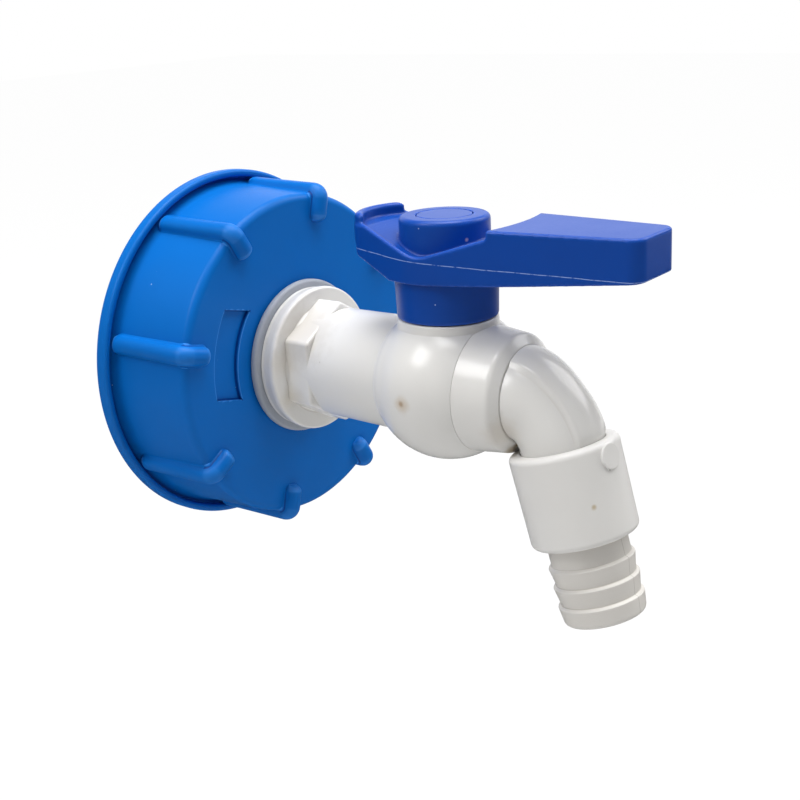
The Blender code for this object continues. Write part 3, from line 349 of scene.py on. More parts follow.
def meshFrom(name, verts, faces):
    mesh = bpy.data.meshes.new(name)
    mesh.from_pydata(verts, [], faces)
    made = bpy.data.objects.new(name, mesh)
    bpy.context.scene.collection.objects.link(made)
    shape = bmesh.new()
    shape.from_mesh(mesh)
    bmesh.ops.remove_doubles(shape, verts=shape.verts, dist=1e-5)
    bmesh.ops.recalc_face_normals(shape, faces=shape.faces)
    if shape.calc_volume(signed=True) < 0:
        bmesh.ops.reverse_faces(shape, faces=shape.faces)
    shape.to_mesh(mesh)
    shape.free()
    return made


# turns (along, radius, corner) points about X or Z
def lathe(name, points, steps=144, axis="x", closed=True, corner=6):
    outline = roundOutline(points, closed, corner)
    verts = []
    for step in range(steps):
        turn = 2 * pi * step / steps
        for along, radius in outline:
            if axis == "x":
                verts.append((along, radius * sin(turn), radius * cos(turn)))
            else:
                verts.append((radius * cos(turn), radius * sin(turn), along))
    count = len(outline)
    faces = []
    for step in range(steps):
        this = step * count
        following = (step + 1) % steps * count
        for i in range(count if closed else count - 1):
            j = (i + 1) % count
            if not closed and i == 0 and outline[0][1] == 0:
                faces.append((this, this + 1, following + 1))
            elif not closed and j == count - 1 and outline[-1][1] == 0:
                faces.append((this + i, this + j, following + i))
            else:
                faces.append((this + i, this + j, following + j, following + i))
    return meshFrom(name, verts, faces)


# joins closed rings of points one after another
def skin(name, rings):
    size = len(rings[0])
    verts = [tuple(point) for ring in rings for point in ring]
    faces = []
    for row in range(len(rings) - 1):
        for i in range(size):
            j = (i + 1) % size
            faces.append((row * size + i, row * size + j, (row + 1) * size + j, (row + 1) * size + i))
    faces.append(tuple(range(size)))
    faces.append(tuple(range(len(verts) - size, len(verts))))
    return meshFrom(name, verts, faces)


# raises a flat outline along X: outline points are (y, z)
def prism(name, outline, low, high):
    return skin(name, [[(x, y, z) for y, z in outline] for x in (low, high)])


# a screw ridge about X, whose ends fade into the wall
def spiral(name, wall, crest, base, top, pitch, start, turns, steps, lean=0.0):
    sunk = wall + (0.4 if crest < wall else -0.4)
    total = int(turns * steps)
    rings = []
    for step in range(total + 1):
        share = min(1.0, min(step, total - step) / (steps / 8))
        tip = sunk + (crest - sunk) * (0.3 + 0.7 * sin(share * pi / 2))
        turn = 2 * pi * step / steps
        along = start + pitch * step / steps
        outline = ((along - base / 2, sunk), (along - top / 2 + lean, tip), (along + top / 2 + lean, tip),
                   (along + base / 2, sunk))
        rings.append([(a, r * cos(turn), r * sin(turn)) for a, r in outline])
    return skin(name, rings)


# the object's shape with its modifiers, as a plain mesh
def baked(thing):
    graph = bpy.context.evaluated_depsgraph_get()
    mesh = bpy.data.meshes.new_from_object(thing.evaluated_get(graph))
    thing.modifiers.clear()
    thing.data = mesh
    return thing


# opens a Geometry Nodes tree: inputs are (name, kind, value), and the values go to the modifier by identifier
def openTree(name, inputs):
    tree = bpy.data.node_groups.new(name, "GeometryNodeTree")
    for side in ("INPUT", "OUTPUT"):
        tree.interface.new_socket("Geometry", in_out=side, socket_type="NodeSocketGeometry")
    values = {}
    for title, kind, value in inputs:
        socket = tree.interface.new_socket(title, in_out="INPUT", socket_type="NodeSocket" + kind)
        values[socket.identifier] = value
    board = Board(tree)
    given = tree.nodes.new("NodeGroupInput")
    return board, {socket.name: Wire(board, socket) for socket in given.outputs if socket.name}, values


# ends the tree, runs it on the object and keeps the result as a plain mesh
def closeTree(board, shape, finish, thing, values):
    solid = board.node("GeometryNodeRealizeInstances", {}, {0: shape})
    painted = board.node("GeometryNodeSetMaterial", {}, {"Geometry": solid, "Material": finish})
    out = board.tree.nodes.new("NodeGroupOutput")
    board.join(painted, out.inputs[0])
    step = thing.modifiers.new(board.tree.name, "NODES")
    step.node_group = board.tree
    for key, value in values.items():
        step[key] = value
    baked(thing)


# rounds the edges that bend by more than the angle
def soften(thing, width, segments, angle):
    soft = thing.modifiers.new("soft", "BEVEL")
    soft.width = width
    soft.segments = segments
    soft.limit_method = "ANGLE"
    soft.angle_limit = radians(angle)
    return baked(thing)


def combine(target, other, operation="DIFFERENCE"):
    step = target.modifiers.new("combine", "BOOLEAN")
    step.operation = operation
    step.solver = "EXACT"
    step.object = other
    baked(target)
    bpy.data.objects.remove(other, do_unlink=True)
    return target


# puts several meshes into one piece
def together(first, *others):
    shape = bmesh.new()
    for thing in (first, *others):
        shape.from_mesh(thing.data)
    shape.to_mesh(first.data)
    shape.free()
    for thing in others:
        bpy.data.objects.remove(thing, do_unlink=True)
    return first


# stores how sharply the surface bends: above 0 on outer edges, below 0 in inner corners
def bendAttribute(mesh):
    count = len(mesh.vertices)
    spots = np.zeros(count * 3, np.float64)
    mesh.vertices.foreach_get("co", spots)
    spots = spots.reshape(-1, 3)
    ways = np.zeros(count * 3, np.float32)
    mesh.vertex_normals.foreach_get("vector", ways)
    ways = ways.reshape(-1, 3)
    pairs = np.zeros(len(mesh.edges) * 2, np.int32)
    mesh.edges.foreach_get("vertices", pairs)
    first, second = pairs.reshape(-1, 2).T
    total = np.zeros(count)
    share = np.zeros(count)
    for here, there in ((first, second), (second, first)):
        step = spots[there] - spots[here]
        length = np.maximum((step ** 2).sum(1), 1e-10)
        bent = np.clip(-2 * (step * ways[here]).sum(1) / length, -4000, 4000)
        np.add.at(total, here, bent * np.sqrt(length))
        np.add.at(share, here, np.sqrt(length))
    bent = total / np.maximum(share, 1e-9) / 900.0
    values = mesh.attributes.new("bend", "FLOAT", "POINT")
    values.data.foreach_set("value", np.clip(bent, -1, 1).astype(np.float32))


# scales a piece to metres and hands it over to the body it moves with
def finishPiece(thing, body, node, finish, sharp=42.0):
    thing.data.transform(Matrix.Scale(mm, 4))
    mesh = thing.data
    mesh.materials.clear()
    mesh.materials.append(finishes[finish])
    mesh.polygons.foreach_set("material_index", [0] * len(mesh.polygons))
    mesh.polygons.foreach_set("use_smooth", [True] * len(mesh.polygons))
    mesh.set_sharp_from_angle(angle=radians(sharp))
    bendAttribute(mesh)
    mesh.update()
    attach(thing, body)
    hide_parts(node)


def onLeverAxis(thing):
    thing.data.transform(Matrix.Rotation(radians(layout["leverTurn"]), 4, "Z"))
    thing.data.transform(Matrix.Translation((layout["ballX"], 0, 0)))
    return thing


def outletWay():
    lean = radians(layout["outletLean"])
    return Vector((sin(lean), 0, -cos(lean)))


def outletTop():
    return Vector((layout["outletX"], 0, 0)) + outletWay() * layout["collarDrop"]


def onOutlet(thing):
    thing.data.transform(Matrix.Rotation(radians(90 - layout["outletLean"]), 4, "Y"))
    thing.data.transform(Matrix.Translation(outletTop()))
    return thing


cap = {
    "flange": 41.65, "rimHigh": 3.3, "rimWide": 1.6, "valleyDeep": 1.9, "valleyLong": 4.2,
    "drum": 38.1, "drumTop": 37.25, "drumEdge": 1.7, "face": 24.0, "recessInset": 0.45, "plate": 4.8,
    "mouth": 30.3, "hub": 17.0, "hubDrop": 7.2, "bore": 13.5,
    "ribs": 8, "ribTurn": 166.6, "ribWide": 4.3, "ribHigh": 1.95, "ribTall": 2.45, "ribCorner": 1.1,
    "ribStart": 2.3, "ribEnd": 30.6, "ribFlare": 0.6,
    "recessIn": 21.4, "recessOut": 28.5, "recessHalf": 10.0, "recessDeep": 0.9,
    "threadCrest": 28.2, "threadPitch": 6.0, "threadBase": 4.2, "threadTop": 1.2, "threadStart": 3.7,
    "threadTurns": 1.7, "threadLean": 1.1,
}


def capShell():
    floor = cap["face"] - cap["plate"]
    hubEnd = floor - cap["hubDrop"]
    rimIn = cap["flange"] - cap["rimWide"]
    valley = cap["rimHigh"] - cap["valleyDeep"]
    return lathe("cap", [
        (0, cap["mouth"] + 0.9, 0.2),
        (0, cap["flange"], 0.9),
        (cap["rimHigh"], cap["flange"], 0.9),
        (cap["rimHigh"], rimIn, 0.7),
        (valley, rimIn - 0.3, 0.3),
        *[(valley + cap["valleyLong"] * (1 - cos(radians(turn))),
           rimIn - 0.5 - (rimIn - 0.5 - cap["drum"]) * sin(radians(turn)), 0) for turn in range(0, 91, 9)],
        (cap["face"], cap["drumTop"], cap["drumEdge"]),
        (cap["face"], cap["recessOut"] + 0.9, 0),
        *[(cap["face"], cap["recessOut"] + 0.3 - (cap["recessOut"] - cap["recessIn"] + 0.6) * i / 12, 0)
          for i in range(13)],
        (cap["face"], cap["recessIn"] - 0.9, 0),
        (cap["face"], cap["bore"], 0.2),
        (hubEnd + 0.6, cap["bore"], 0),
        (hubEnd, cap["bore"] + 0.6, 0),
        (hubEnd, cap["hub"], 0.6),
        (floor, cap["hub"], 0.6),
        (floor, cap["mouth"], 0.8),
        (0.9, cap["mouth"], 0.2),
    ], 216)


# one rib: a round-topped bar with flared foot, bent over the drum's corner, with round ends
def ribMesh():
    half = cap["ribWide"] / 2
    corner = cap["ribCorner"]
    cornerX = cap["face"] - corner
    cornerR = cap["drumTop"] - corner
    slope = (cap["drum"] - cap["drumTop"]) / (cap["face"] - cap["ribStart"])
    path = []
    for step in range(1, 7):
        turn = radians(15 * step)
        path.append((cap["ribStart"] + half * (1 - cos(turn)) * 0.9, cap["drum"], 90.0, sin(turn)))
    first = path[5][0]
    for step in range(1, 5):
        x = first + (cornerX - first) * step / 4
        path.append((x, cap["drum"] - slope * (x - cap["ribStart"]), 90.0, 1.0))
    for step in range(1, 9):
        turn = 90 - 90 * step / 8
        path.append((cornerX + corner * cos(radians(turn)), cornerR + corner * sin(radians(turn)), turn, 1.0))
    path.append((cap["face"], (cornerR + cap["ribEnd"] + half) / 2, 0.0, 1.0))
    for step in range(6, 0, -1):
        turn = radians(15 * step)
        path.append((cap["face"], cap["ribEnd"] + half - half * cos(turn) * 0.9, 0.0, sin(turn)))
    rings = []
    for x, r, turn, share in path:
        away = Vector((cos(radians(turn)), sin(radians(turn))))
        flare = cap["ribFlare"]
        high = cap["ribHigh"] + (cap["ribTall"] - cap["ribHigh"]) * min(1.0, x / cornerX)
        foot = [(half + flare * out, up) for out, up in ((1.0, -0.9), (0.9, -0.2), (0.5, 0.06), (0.1, 0.32))]
        shape = [(-across, up) for across, up in foot]
        for step in range(13):
            side = radians(172 - 164 * step / 12)
            shape.append((half * cos(side), max(0.0, high * sin(side) ** 0.8) + 0.1 * (1 - sin(side))))
        shape += foot[::-1]
        rings.append([(x + away.x * (up * share - 0.3 * (1 - share)), across * (0.25 + 0.75 * share),
                       r + away.y * (up * share - 0.3 * (1 - share))) for across, up in shape])
    return skin("rib", rings)


# Geometry Nodes: repeats the rib round the cap's axis and joins the ring to the shell
def addRibs(shell):
    rib = ribMesh()
    board, take, values = openTree("ribRing", [
        ("Rib", "Object", rib), ("Count", "Int", cap["ribs"]), ("First Turn", "Float", radians(cap["ribTurn"] - 90)),
        ("Finish", "Material", finishes["capBlue"])])
    points = board.node("GeometryNodePoints", {}, {"Count": take["Count"]})
    index = board.node("GeometryNodeInputIndex")
    turn = index / take["Count"] * (2 * pi) + take["First Turn"]
    spin = board.node("ShaderNodeCombineXYZ", {}, {"X": turn})
    shape = board.node("GeometryNodeObjectInfo", {}, {"Object": take["Rib"]}, "Geometry")
    placed = board.node("GeometryNodeInstanceOnPoints", {}, {"Points": points, "Instance": shape, "Rotation": spin})
    both = board.node("GeometryNodeJoinGeometry")
    for part in (placed, take["Geometry"]):
        board.join(part, both.socket.node.inputs[0])
    closeTree(board, both, take["Finish"], shell, values)
    bpy.data.objects.remove(rib, do_unlink=True)


def recessCutter():
    outline = []
    for radius, order in ((cap["recessOut"], 1), (cap["recessIn"], -1)):
        half = asin(cap["recessHalf"] / radius)
        for step in range(-12, 13):
            turn = order * half * step / 12
            outline.append((radius * cos(turn), radius * sin(turn)))
    cutter = prism("recess", outline, cap["face"] - cap["recessDeep"], cap["face"] + 1)
    shape = bmesh.new()
    shape.from_mesh(cutter.data)
    floor = [face for face in shape.faces if face.normal.x < -0.9]
    bmesh.ops.inset_region(shape, faces=floor, thickness=cap["recessInset"], use_even_offset=True)
    shape.to_mesh(cutter.data)
    shape.free()
    cutter.data.transform(Matrix.Rotation(radians(cap["ribTurn"]), 4, "X"))
    return cutter


def makeCap():
    shell = combine(capShell(), recessCutter())
    addRibs(shell)
    thread = spiral("thread", cap["mouth"], cap["threadCrest"], cap["threadBase"], cap["threadTop"], cap["threadPitch"],
                    cap["threadStart"], cap["threadTurns"], 96, cap["threadLean"])
    finishPiece(together(shell, thread), "tank_side", "cap", "capBlue")


makeCap()
print("cap made")


tap = {
    "washer": 17.8, "washerThick": 1.75, "washerGap": 0.12,
    "inlet": 10.0, "core": 12.05, "thread": 13.2,
    "discBack": 16.0, "disc": 16.55, "discEnd": 30.1, "discEdge": 0.9,
    "hexFlat": 24.45, "hexEnd": 36.75, "tube": 12.2, "tubeEnd": 12.55,
    "chamber": 16.75, "bodyEnd": 76.5, "spigot": 12.1, "spigotEnd": 82.1,
    "bore": 6.0, "ball": 10.5, "seat": 10.0, "seatBack": 9.1,
    "neck": 10.7, "neckTop": 14.62, "neckRoot": 11.9,
    "inletEdge": 1.1, "threadBase": 1.5, "threadTop": 0.4, "threadPitch": 2.0, "threadTurns": 5.3,
    "hexCorner": 0.75,
}


def makeWasher():
    near = cap["face"] + tap["washerGap"]
    far = near + tap["washerThick"]
    hole = tap["thread"] + 0.3
    ring = lathe("washer", [
        (near, hole, 0.1), (near, tap["washer"], 0.7), (far, tap["washer"], 0.7), (far, hole, 0.1)], 168)
    finishPiece(ring, "tank_side", "flange_washer", "washerGrey")


def tapShell():
    gap = layout["gap"]
    discStart = cap["face"] + tap["washerThick"] + 2 * tap["washerGap"]
    ballX = layout["ballX"]
    startTurn = acos(tap["tubeEnd"] / tap["chamber"])
    endTurn = asin((tap["bodyEnd"] - ballX) / tap["chamber"])
    points = [
        (tap["inlet"], tap["bore"], 0.3),
        (tap["inlet"], tap["core"] - tap["inletEdge"], 0),
        (tap["inlet"] + tap["inletEdge"], tap["core"], 0),
        (discStart, tap["core"], 0),
        (discStart, tap["discBack"] + 0.1, 0.1),
        (discStart + 0.8, tap["discBack"], 1.5),
        (tap["discEnd"] - 1.2, tap["disc"], 1.2),
        (tap["discEnd"], tap["disc"], tap["discEdge"]),
        (tap["discEnd"], tap["tube"] + 0.4, 0.3),
        (tap["discEnd"] + 0.8, tap["tube"], 0.5),
        (ballX - tap["chamber"] * sin(startTurn) - 0.2, tap["tubeEnd"], 0.9),
    ]
    for step in range(1, 33):
        turn = -startTurn + (startTurn + endTurn) * step / 32
        points.append((ballX + tap["chamber"] * sin(turn), tap["chamber"] * cos(turn), 0))
    points += [
        (tap["bodyEnd"], tap["spigot"], 0),
        (tap["spigotEnd"], tap["spigot"], 0.3),
        (tap["spigotEnd"], tap["ball"] + gap, 0),
        (ballX - tap["ball"] / 2, tap["ball"] + gap, 0),
        (ballX - tap["ball"] / 2, tap["seat"] + gap, 0),
        (ballX - tap["seatBack"] - gap, tap["seat"] + gap, 0),
        (ballX - tap["seatBack"] - gap, tap["bore"], 0),
    ]
    return lathe("tapBody", points, 168)


def hexBlock():
    corner = tap["hexFlat"] / sqrt(3)
    outline = [(corner * cos(radians(90 + 60 * i)), corner * sin(radians(90 + 60 * i))) for i in range(6)]
    block = prism("hex", outline, tap["discEnd"] - 0.5, tap["hexEnd"])
    return soften(block, tap["hexCorner"], 6, 24)


# the rim under the lever, flared on to the round chamber
def neckRing():
    top = tap["neckTop"]
    reach = tap["chamber"] - 0.03
    low = sqrt(reach ** 2 - (tap["neckRoot"] + 1.6) ** 2)
    ring = lathe("neck", [
        (top, tap["neck"] - 1.6, 0),
        (top, tap["neck"], 0.4),
        (sqrt(reach ** 2 - tap["neckRoot"] ** 2) + 0.9, tap["neck"] + 0.15, 1.3),
        (low, tap["neckRoot"] + 1.6, 0),
        (low - 1.2, tap["neckRoot"] + 0.6, 0),
        (low - 1.2, tap["neck"] - 1.6, 0),
    ], 144, axis="z")
    ring.data.transform(Matrix.Translation((layout["ballX"], 0, 0)))
    return ring


def makeBody():
    thread = spiral("thread", tap["core"], tap["thread"], tap["threadBase"], tap["threadTop"], tap["threadPitch"],
                    tap["inlet"] + tap["inletEdge"], tap["threadTurns"], 64)
    shell = together(tapShell(), hexBlock(), neckRing(), thread)
    finishPiece(shell, "tank_side", "valve_body", "bodyWhite", sharp=50.0)


makeWasher()
makeBody()
print("washer and tap body made")


spout = {
    "start": 76.505, "shell": 13.5, "mid": 12.6, "midX": 84.5, "end": 86.1, "endRound": 10.4, "round": 1.7,
    "socket": 8.6, "socketStart": 80.4,
    "pipe": 8.8, "pipeStart": 76.0, "bend": 11.9, "flare": 1.3, "flareStart": 0.12, "flareEnd": 0.66,
    "bandRise": 0.5, "bandHalf": 36.0, "bandSoft": 9.0, "bandEnd": 0.4, "bandFade": 1.9,
    "bore": 6.0, "boreStart": 79.0, "boreBend": 8.0, "length": 10.8,
    "nose": 10.2, "noseStart": 76.15, "noseEnd": 82.4,     # the sleeve's inner step, inside the tap's spigot
    "spigot": 8.2, "spigotStart": 81.0, "seamGap": 0.12, "seamEdge": 0.25,
}
nut = {
    "top": 11.58, "bottom": 11.3, "long": 19.9, "topEdge": 1.3, "bottomEdge": 2.1, "bore": 9.4, "mouth": 8.86,
    "lip": 3.7, "gate": 2.65, "gateDown": 3.1, "gateRise": 0.3, "gateTurn": 7.0,
}
tail = {
    "neck": 8.4, "bore": 6.4, "barb": 9.12, "root": 8.4, "first": 24.8, "pitch": 4.2, "barbs": 3, "barbEdge": 0.28,
    "end": 37.23, "tip": 8.57, "edge": 1.2,
}


def makeEndPiece():
    ring = lathe("endPiece", [
        (spout["start"], tap["spigot"] + 0.3, 0),
        (spout["start"], spout["shell"], 0.1),
        (spout["midX"], spout["mid"], spout["round"]),
        (spout["end"], spout["endRound"], 0.6),
        (spout["end"], spout["socket"], 0.2),
        (spout["socketStart"], spout["socket"], 0),
        (spout["socketStart"], spout["bore"], 0),
        (spout["noseStart"], spout["bore"], 0),
        (spout["noseStart"], spout["nose"], 0),
        (spout["noseEnd"], spout["nose"], 0),
        (spout["noseEnd"], tap["spigot"] + 0.3, 0),
    ], 168)
    finishPiece(ring, "tank_side", "end_piece", "bodyWhite")


# 0 to 1 with soft ends
def eased(share):
    share = min(1.0, max(0.0, share))
    return share * share * (3 - 2 * share)


# a pipe along X, round the bend and down the outlet; rise lifts the band on its outer side, flare widens its start
def bentPipe(name, radius, bend, start, length, sides, rise=0.0, flare=0.0):
    turn = radians(90 - layout["outletLean"])
    pivot = Vector((layout["outletX"] - bend * tan(turn / 2), 0, -bend))
    stations = []
    if start < pivot.x:
        stations.append((Vector((start, 0, 0)), 0.0, 1.0))
    bendEnd = bend * tan(turn / 2) - layout["collarDrop"]

    def raised(down):  # the band is full above the nut and fades at its mouth
        return eased((spout["bandEnd"] - down) / spout["bandFade"])

    for step in range(33):
        bent = turn * step / 32
        centre = pivot + Vector((sin(bent), 0, cos(bent))) * bend
        stations.append((centre, bent, raised(bendEnd - (turn - bent) * bend)))
    for down in (-0.2, 0.1, 0.5):
        if down > bendEnd + 0.1:
            stations.append((outletTop() + outletWay() * down, turn, raised(down)))
    stations.append((outletTop() + outletWay() * length, turn, 0.0))
    half = radians(spout["bandHalf"])
    soft = radians(spout["bandSoft"])
    turns = [2 * pi * i / sides for i in range(sides)]
    if rise > 0:
        for side in (-1, 1):
            turns += [pi / 2 + side * (half + soft * share) for share in (-0.5, -0.2, 0.15, 0.5, 0.9)]
        turns = sorted(turns)
    rings = []
    for centre, bent, band in stations:
        outward = Vector((sin(bent), 0, cos(bent)))
        faded = (bent / turn - spout["flareStart"]) / (spout["flareEnd"] - spout["flareStart"])
        wide = radius + flare * (1 - eased(faded))
        ring = []
        for t in turns:
            off = abs(t - pi / 2)
            arm = wide + rise * band * eased((half + soft * 0.5 - off) / soft)
            ring.append(centre + outward * (arm * sin(t)) + Vector((0, arm * cos(t), 0)))
        rings.append(ring)
    return skin(name, rings)


def makeElbow():
    seam = spout["end"] + spout["seamGap"]
    pipe = bentPipe("elbow", spout["pipe"], spout["bend"], spout["pipeStart"], spout["length"], 96,
                    spout["bandRise"], spout["flare"])
    away = prism("away", [(-40, -40), (40, -40), (40, 40), (-40, 40)], seam - 60, seam)
    combine(pipe, away)
    soften(pipe, spout["seamEdge"], 3, 62)
    spigot = lathe("spigot", [
        (spout["spigotStart"], 0, 0),
        (spout["spigotStart"], spout["spigot"], 0),
        (seam + 0.6, spout["spigot"], 0),
        (seam + 0.6, 0, 0),
    ], 144, closed=False)
    combine(pipe, spigot, "UNION")
    bore = bentPipe("bore", spout["bore"], spout["boreBend"], spout["boreStart"], spout["length"] + 2, 48)
    combine(pipe, bore)
    finishPiece(pipe, "spout", "elbow", "bodyWhite", sharp=38.0)


def makeNut():
    lip = nut["long"] - nut["lip"]
    hole = tail["neck"] + 0.3
    ring = lathe("collarNut", [
        (0.9, nut["bore"], 0),
        (0.9, nut["mouth"], 0),
        (0, nut["mouth"] + 0.15, 0.15),
        (0, nut["top"], nut["topEdge"]),
        (nut["long"], nut["bottom"], nut["bottomEdge"]),
        (nut["long"], hole, 0.2),
        (lip, hole, 0),
        (lip, nut["bore"], 0),
    ], 144)
    gate = lathe("gate", [
        (nut["bottom"] - 1.5, 0, 0),
        (nut["bottom"] - 1.5, nut["gate"] + 0.1, 0),
        (nut["top"] + nut["gateRise"], nut["gate"], 0.2),
        (nut["top"] + nut["gateRise"], 0, 0),
    ], 64, axis="z", closed=False, corner=4)
    gate.data.transform(Matrix.Rotation(radians(nut["gateTurn"]), 4, "X"))
    gate.data.transform(Matrix.Translation((nut["gateDown"], 0, 0)))
    finishPiece(onOutlet(together(ring, gate)), "collar", "collar_nut", "spoutWhite")


def makeTail():
    flangeStart = spout["length"] + 2.1
    flangeEnd = nut["long"] - nut["lip"] - 0.3
    points = [
        (flangeStart, tail["bore"], 0),
        (flangeStart, nut["bore"] - 0.3, 0),
        (flangeEnd, nut["bore"] - 0.3, 0),
        (flangeEnd, tail["neck"], 0),
    ]
    for i in range(tail["barbs"]):
        crest = tail["first"] + tail["pitch"] * i
        points += [(crest - 0.55, tail["root"], 0.2), (crest - 0.05, tail["barb"], tail["barbEdge"])]
    points += [(tail["end"], tail["tip"], tail["edge"]), (tail["end"], tail["bore"], 0.3)]
    finishPiece(onOutlet(lathe("hoseTail", points, 144)), "tail", "hose_tail", "tailWhite")


makeEndPiece()
makeElbow()
makeNut()
makeTail()
print("spout made")


# the lever is shaped in Geometry Nodes as one rounded field
lever = {
    "tailTip": 17.1, "tailHalf": 8.2, "tailBulge": 3.2, "tailUnder": 27.5, "tailFloor": 35.1,
    "hubS": -0.6, "hubHalf": 12.8, "hubUnder": 23.5,
    "valley": 29.4, "valleyStart": -0.6, "valleyEnd": 2.4,
    "rootS": 16.0, "rootHalf": 11.4, "rootUnder": 24.2,
    "rampS": 17.8, "ramp": 34.2,
    "gripTop": 35.5, "gripStart": 18.0, "gripArc": 40.0, "gripEnd": 48.18, "gripEndHalf": 8.0, "gripUnder": 27.0,
    "gripCorner": 2.8, "wall": 1.0, "floorDrop": 0.35, "edge": 0.6,
    "lipTop": 36.35, "lipWide": 1.9, "lipHalf": 7.9,
    "boss": 9.53, "bossTop": 36.07, "bossEdge": 1.1, "plugHole": 6.0, "web": 31.6,
    "skirt": 10.74, "skirtTop": 10.95, "skirtBottom": 14.8, "skirtBore": 9.3, "skirtRoof": 22.9,
    "shellWall": 1.7, "shellRoof": 33.5, "pocketStart": 21.5, "pocketPitch": 9.5, "pocketRib": 1.4,
    "underStart": -7.0, "lipFoot": 30.0, "lipEnd": -8.0, "bossFoot": 24.0, "skirtJoin": 24.5, "skirtSlope": 8.0,
    "square": 3.1, "squareTop": 30.0, "screwHole": 2.2,
    "cell": 0.288,         # the field is sampled this finely
}
leverBox = ((-21.5, -14.5, 14.0), (50.0, 14.5, 37.5))      # the field is sampled in here
plug = {"low": 31.9, "cup": 5.1, "thick": 1.3, "gap": 0.2, "edge": 0.22}


# where both fields hold, with the outer edge between them rounded
def roundCut(a, b, radius):
    first = (a + radius).atLeast(0.0)
    second = (b + radius).atLeast(0.0)
    inside = (a + radius).atLeast(b + radius).atMost(0.0)
    return inside + (first * first + second * second).root() - radius


# where either field holds, with the inner corner between them filled round
def roundJoin(a, b, radius):
    return -roundCut(-a, -b, radius)


def softMost(a, b, reach):
    return a.sum("SMOOTH_MAX", b, reach)


# below 0 inside the lever; s runs along it from the stem's axis, w across and z up
def leverField(board, size):
    spot = board.node("GeometryNodeInputPosition")
    s, w, z = (board.axis(spot, letter) for letter in "XYZ")
    tip = -size["tailTip"]
    side = w.size()
    reach = (s * s + w * w).root()

    def wallLine(s0, w0, s1, w1):
        run = s1 - s0
        rise = w1 - w0
        length = (run * run + rise * rise).root()
        return (s - s0) * (-rise / length) + (side - w0) * (run / length)

    def riseLine(s0, z0, s1, z1):
        return (s - s0) * ((z1 - z0) / (s1 - s0)) + z0

    sides = softMost(wallLine(tip, size["tailHalf"], size["hubS"], size["hubHalf"]),
                     wallLine(size["hubS"], size["hubHalf"], size["rootS"], size["rootHalf"]), 1.2)
    sides = softMost(sides, wallLine(size["rootS"], size["rootHalf"], size["gripEnd"], size["gripEndHalf"]), 3.0)
    plan = roundCut(sides, s - size["gripEnd"], size["gripCorner"])
    arc = (size["tailHalf"] * size["tailHalf"] + size["tailBulge"] * size["tailBulge"]) / (size["tailBulge"] * 2)
    pivot = arc + tip - size["tailBulge"]
    short = (s - pivot).atMost(0.0)
    tailEnd = (short * short + w * w).root() - arc - (s - pivot).atLeast(0.0)
    plan = roundCut(plan, tailEnd, 0.5)

    rim = softMost(riseLine(tip, size["tailFloor"], size["valleyStart"], size["valley"]),
                   riseLine(size["valleyEnd"], size["valley"], size["rampS"], size["ramp"]), 2.2).atMost(size["ramp"])
    run = s - size["gripStart"] + size["gripArc"]
    before = (run * run + w * w).root() - size["gripArc"]        # below 0 on the lever's low part
    top = roundJoin((z - rim) * 0.95, roundCut(z - size["gripTop"], -before, 0.35), 0.45)
    body = roundCut(plan, top, size["edge"])
    hollow = roundCut(plan + size["wall"], (rim - size["floorDrop"] - z) * 0.95, 0.4)
    body = roundCut(body, -roundCut(hollow, before + size["wall"], 0.4), 0.4)
    lip = roundCut((tailEnd + size["lipWide"] / 2).size() - size["lipWide"] / 2, z - size["lipTop"], 0.8)
    lip = roundCut(roundCut(lip, side - size["lipHalf"], 1.3), size["lipFoot"] - z, 0.2)
    lip = roundCut(lip, s - size["lipEnd"], 0.2)
    body = roundJoin(body, lip, 0.7)
    under = softMost(riseLine(tip, size["tailUnder"], size["underStart"], size["hubUnder"]),
                     riseLine(size["valleyEnd"], size["hubUnder"], size["rootS"], size["rootUnder"]), 0.8)
    under = softMost(under.atLeast(size["hubUnder"]),
                     riseLine(size["rootS"], size["rootUnder"], size["gripEnd"], size["gripUnder"]), 0.4)
    body = roundCut(body, (under - z) * 0.97, 0.4)
    start = lever["pocketStart"]
    wallStart = lever["gripEnd"] - lever["shellWall"]
    while start < wallStart - 2:
        end = min(start + lever["pocketPitch"] - lever["pocketRib"], wallStart)
        pocket = roundCut((s - (start + end) / 2).size() - (end - start) / 2, plan + size["shellWall"], 0.6)
        body = roundCut(body, -roundCut(pocket, z - size["shellRoof"], 0.6), 0.3)
        start += lever["pocketPitch"]
    boss = roundCut(roundCut(reach - size["boss"], z - size["bossTop"], size["bossEdge"]), size["bossFoot"] - z, 0.1)
    body = roundJoin(body, boss, 0.5)
    wide = (z - size["skirtBottom"]) * ((size["skirtTop"] - size["skirt"]) / size["skirtSlope"]) + size["skirt"]
    skirt = roundCut(roundCut(reach - wide, size["skirtBottom"] - z, 0.45), z - size["skirtJoin"], 0.1)
    body = roundJoin(body, skirt, 0.25)
    body = roundCut(body, -roundCut(reach - size["plugHole"], size["web"] - z, 0.1), 0.12)
    body = roundCut(body, -roundCut(reach - size["skirtBore"], z - size["skirtRoof"], 0.3), 0.25)
    square = (s.size().atLeast(side) - size["square"]).atLeast(z - size["squareTop"])
    return body.atLeast(-square).atLeast(-(reach - size["screwHole"]))


# each of the lever's sizes but the pockets' is an input of its tree, such as gripEnd as Grip End
def titleOf(key):
    return "".join(" " + letter if letter.isupper() else letter for letter in key).title()


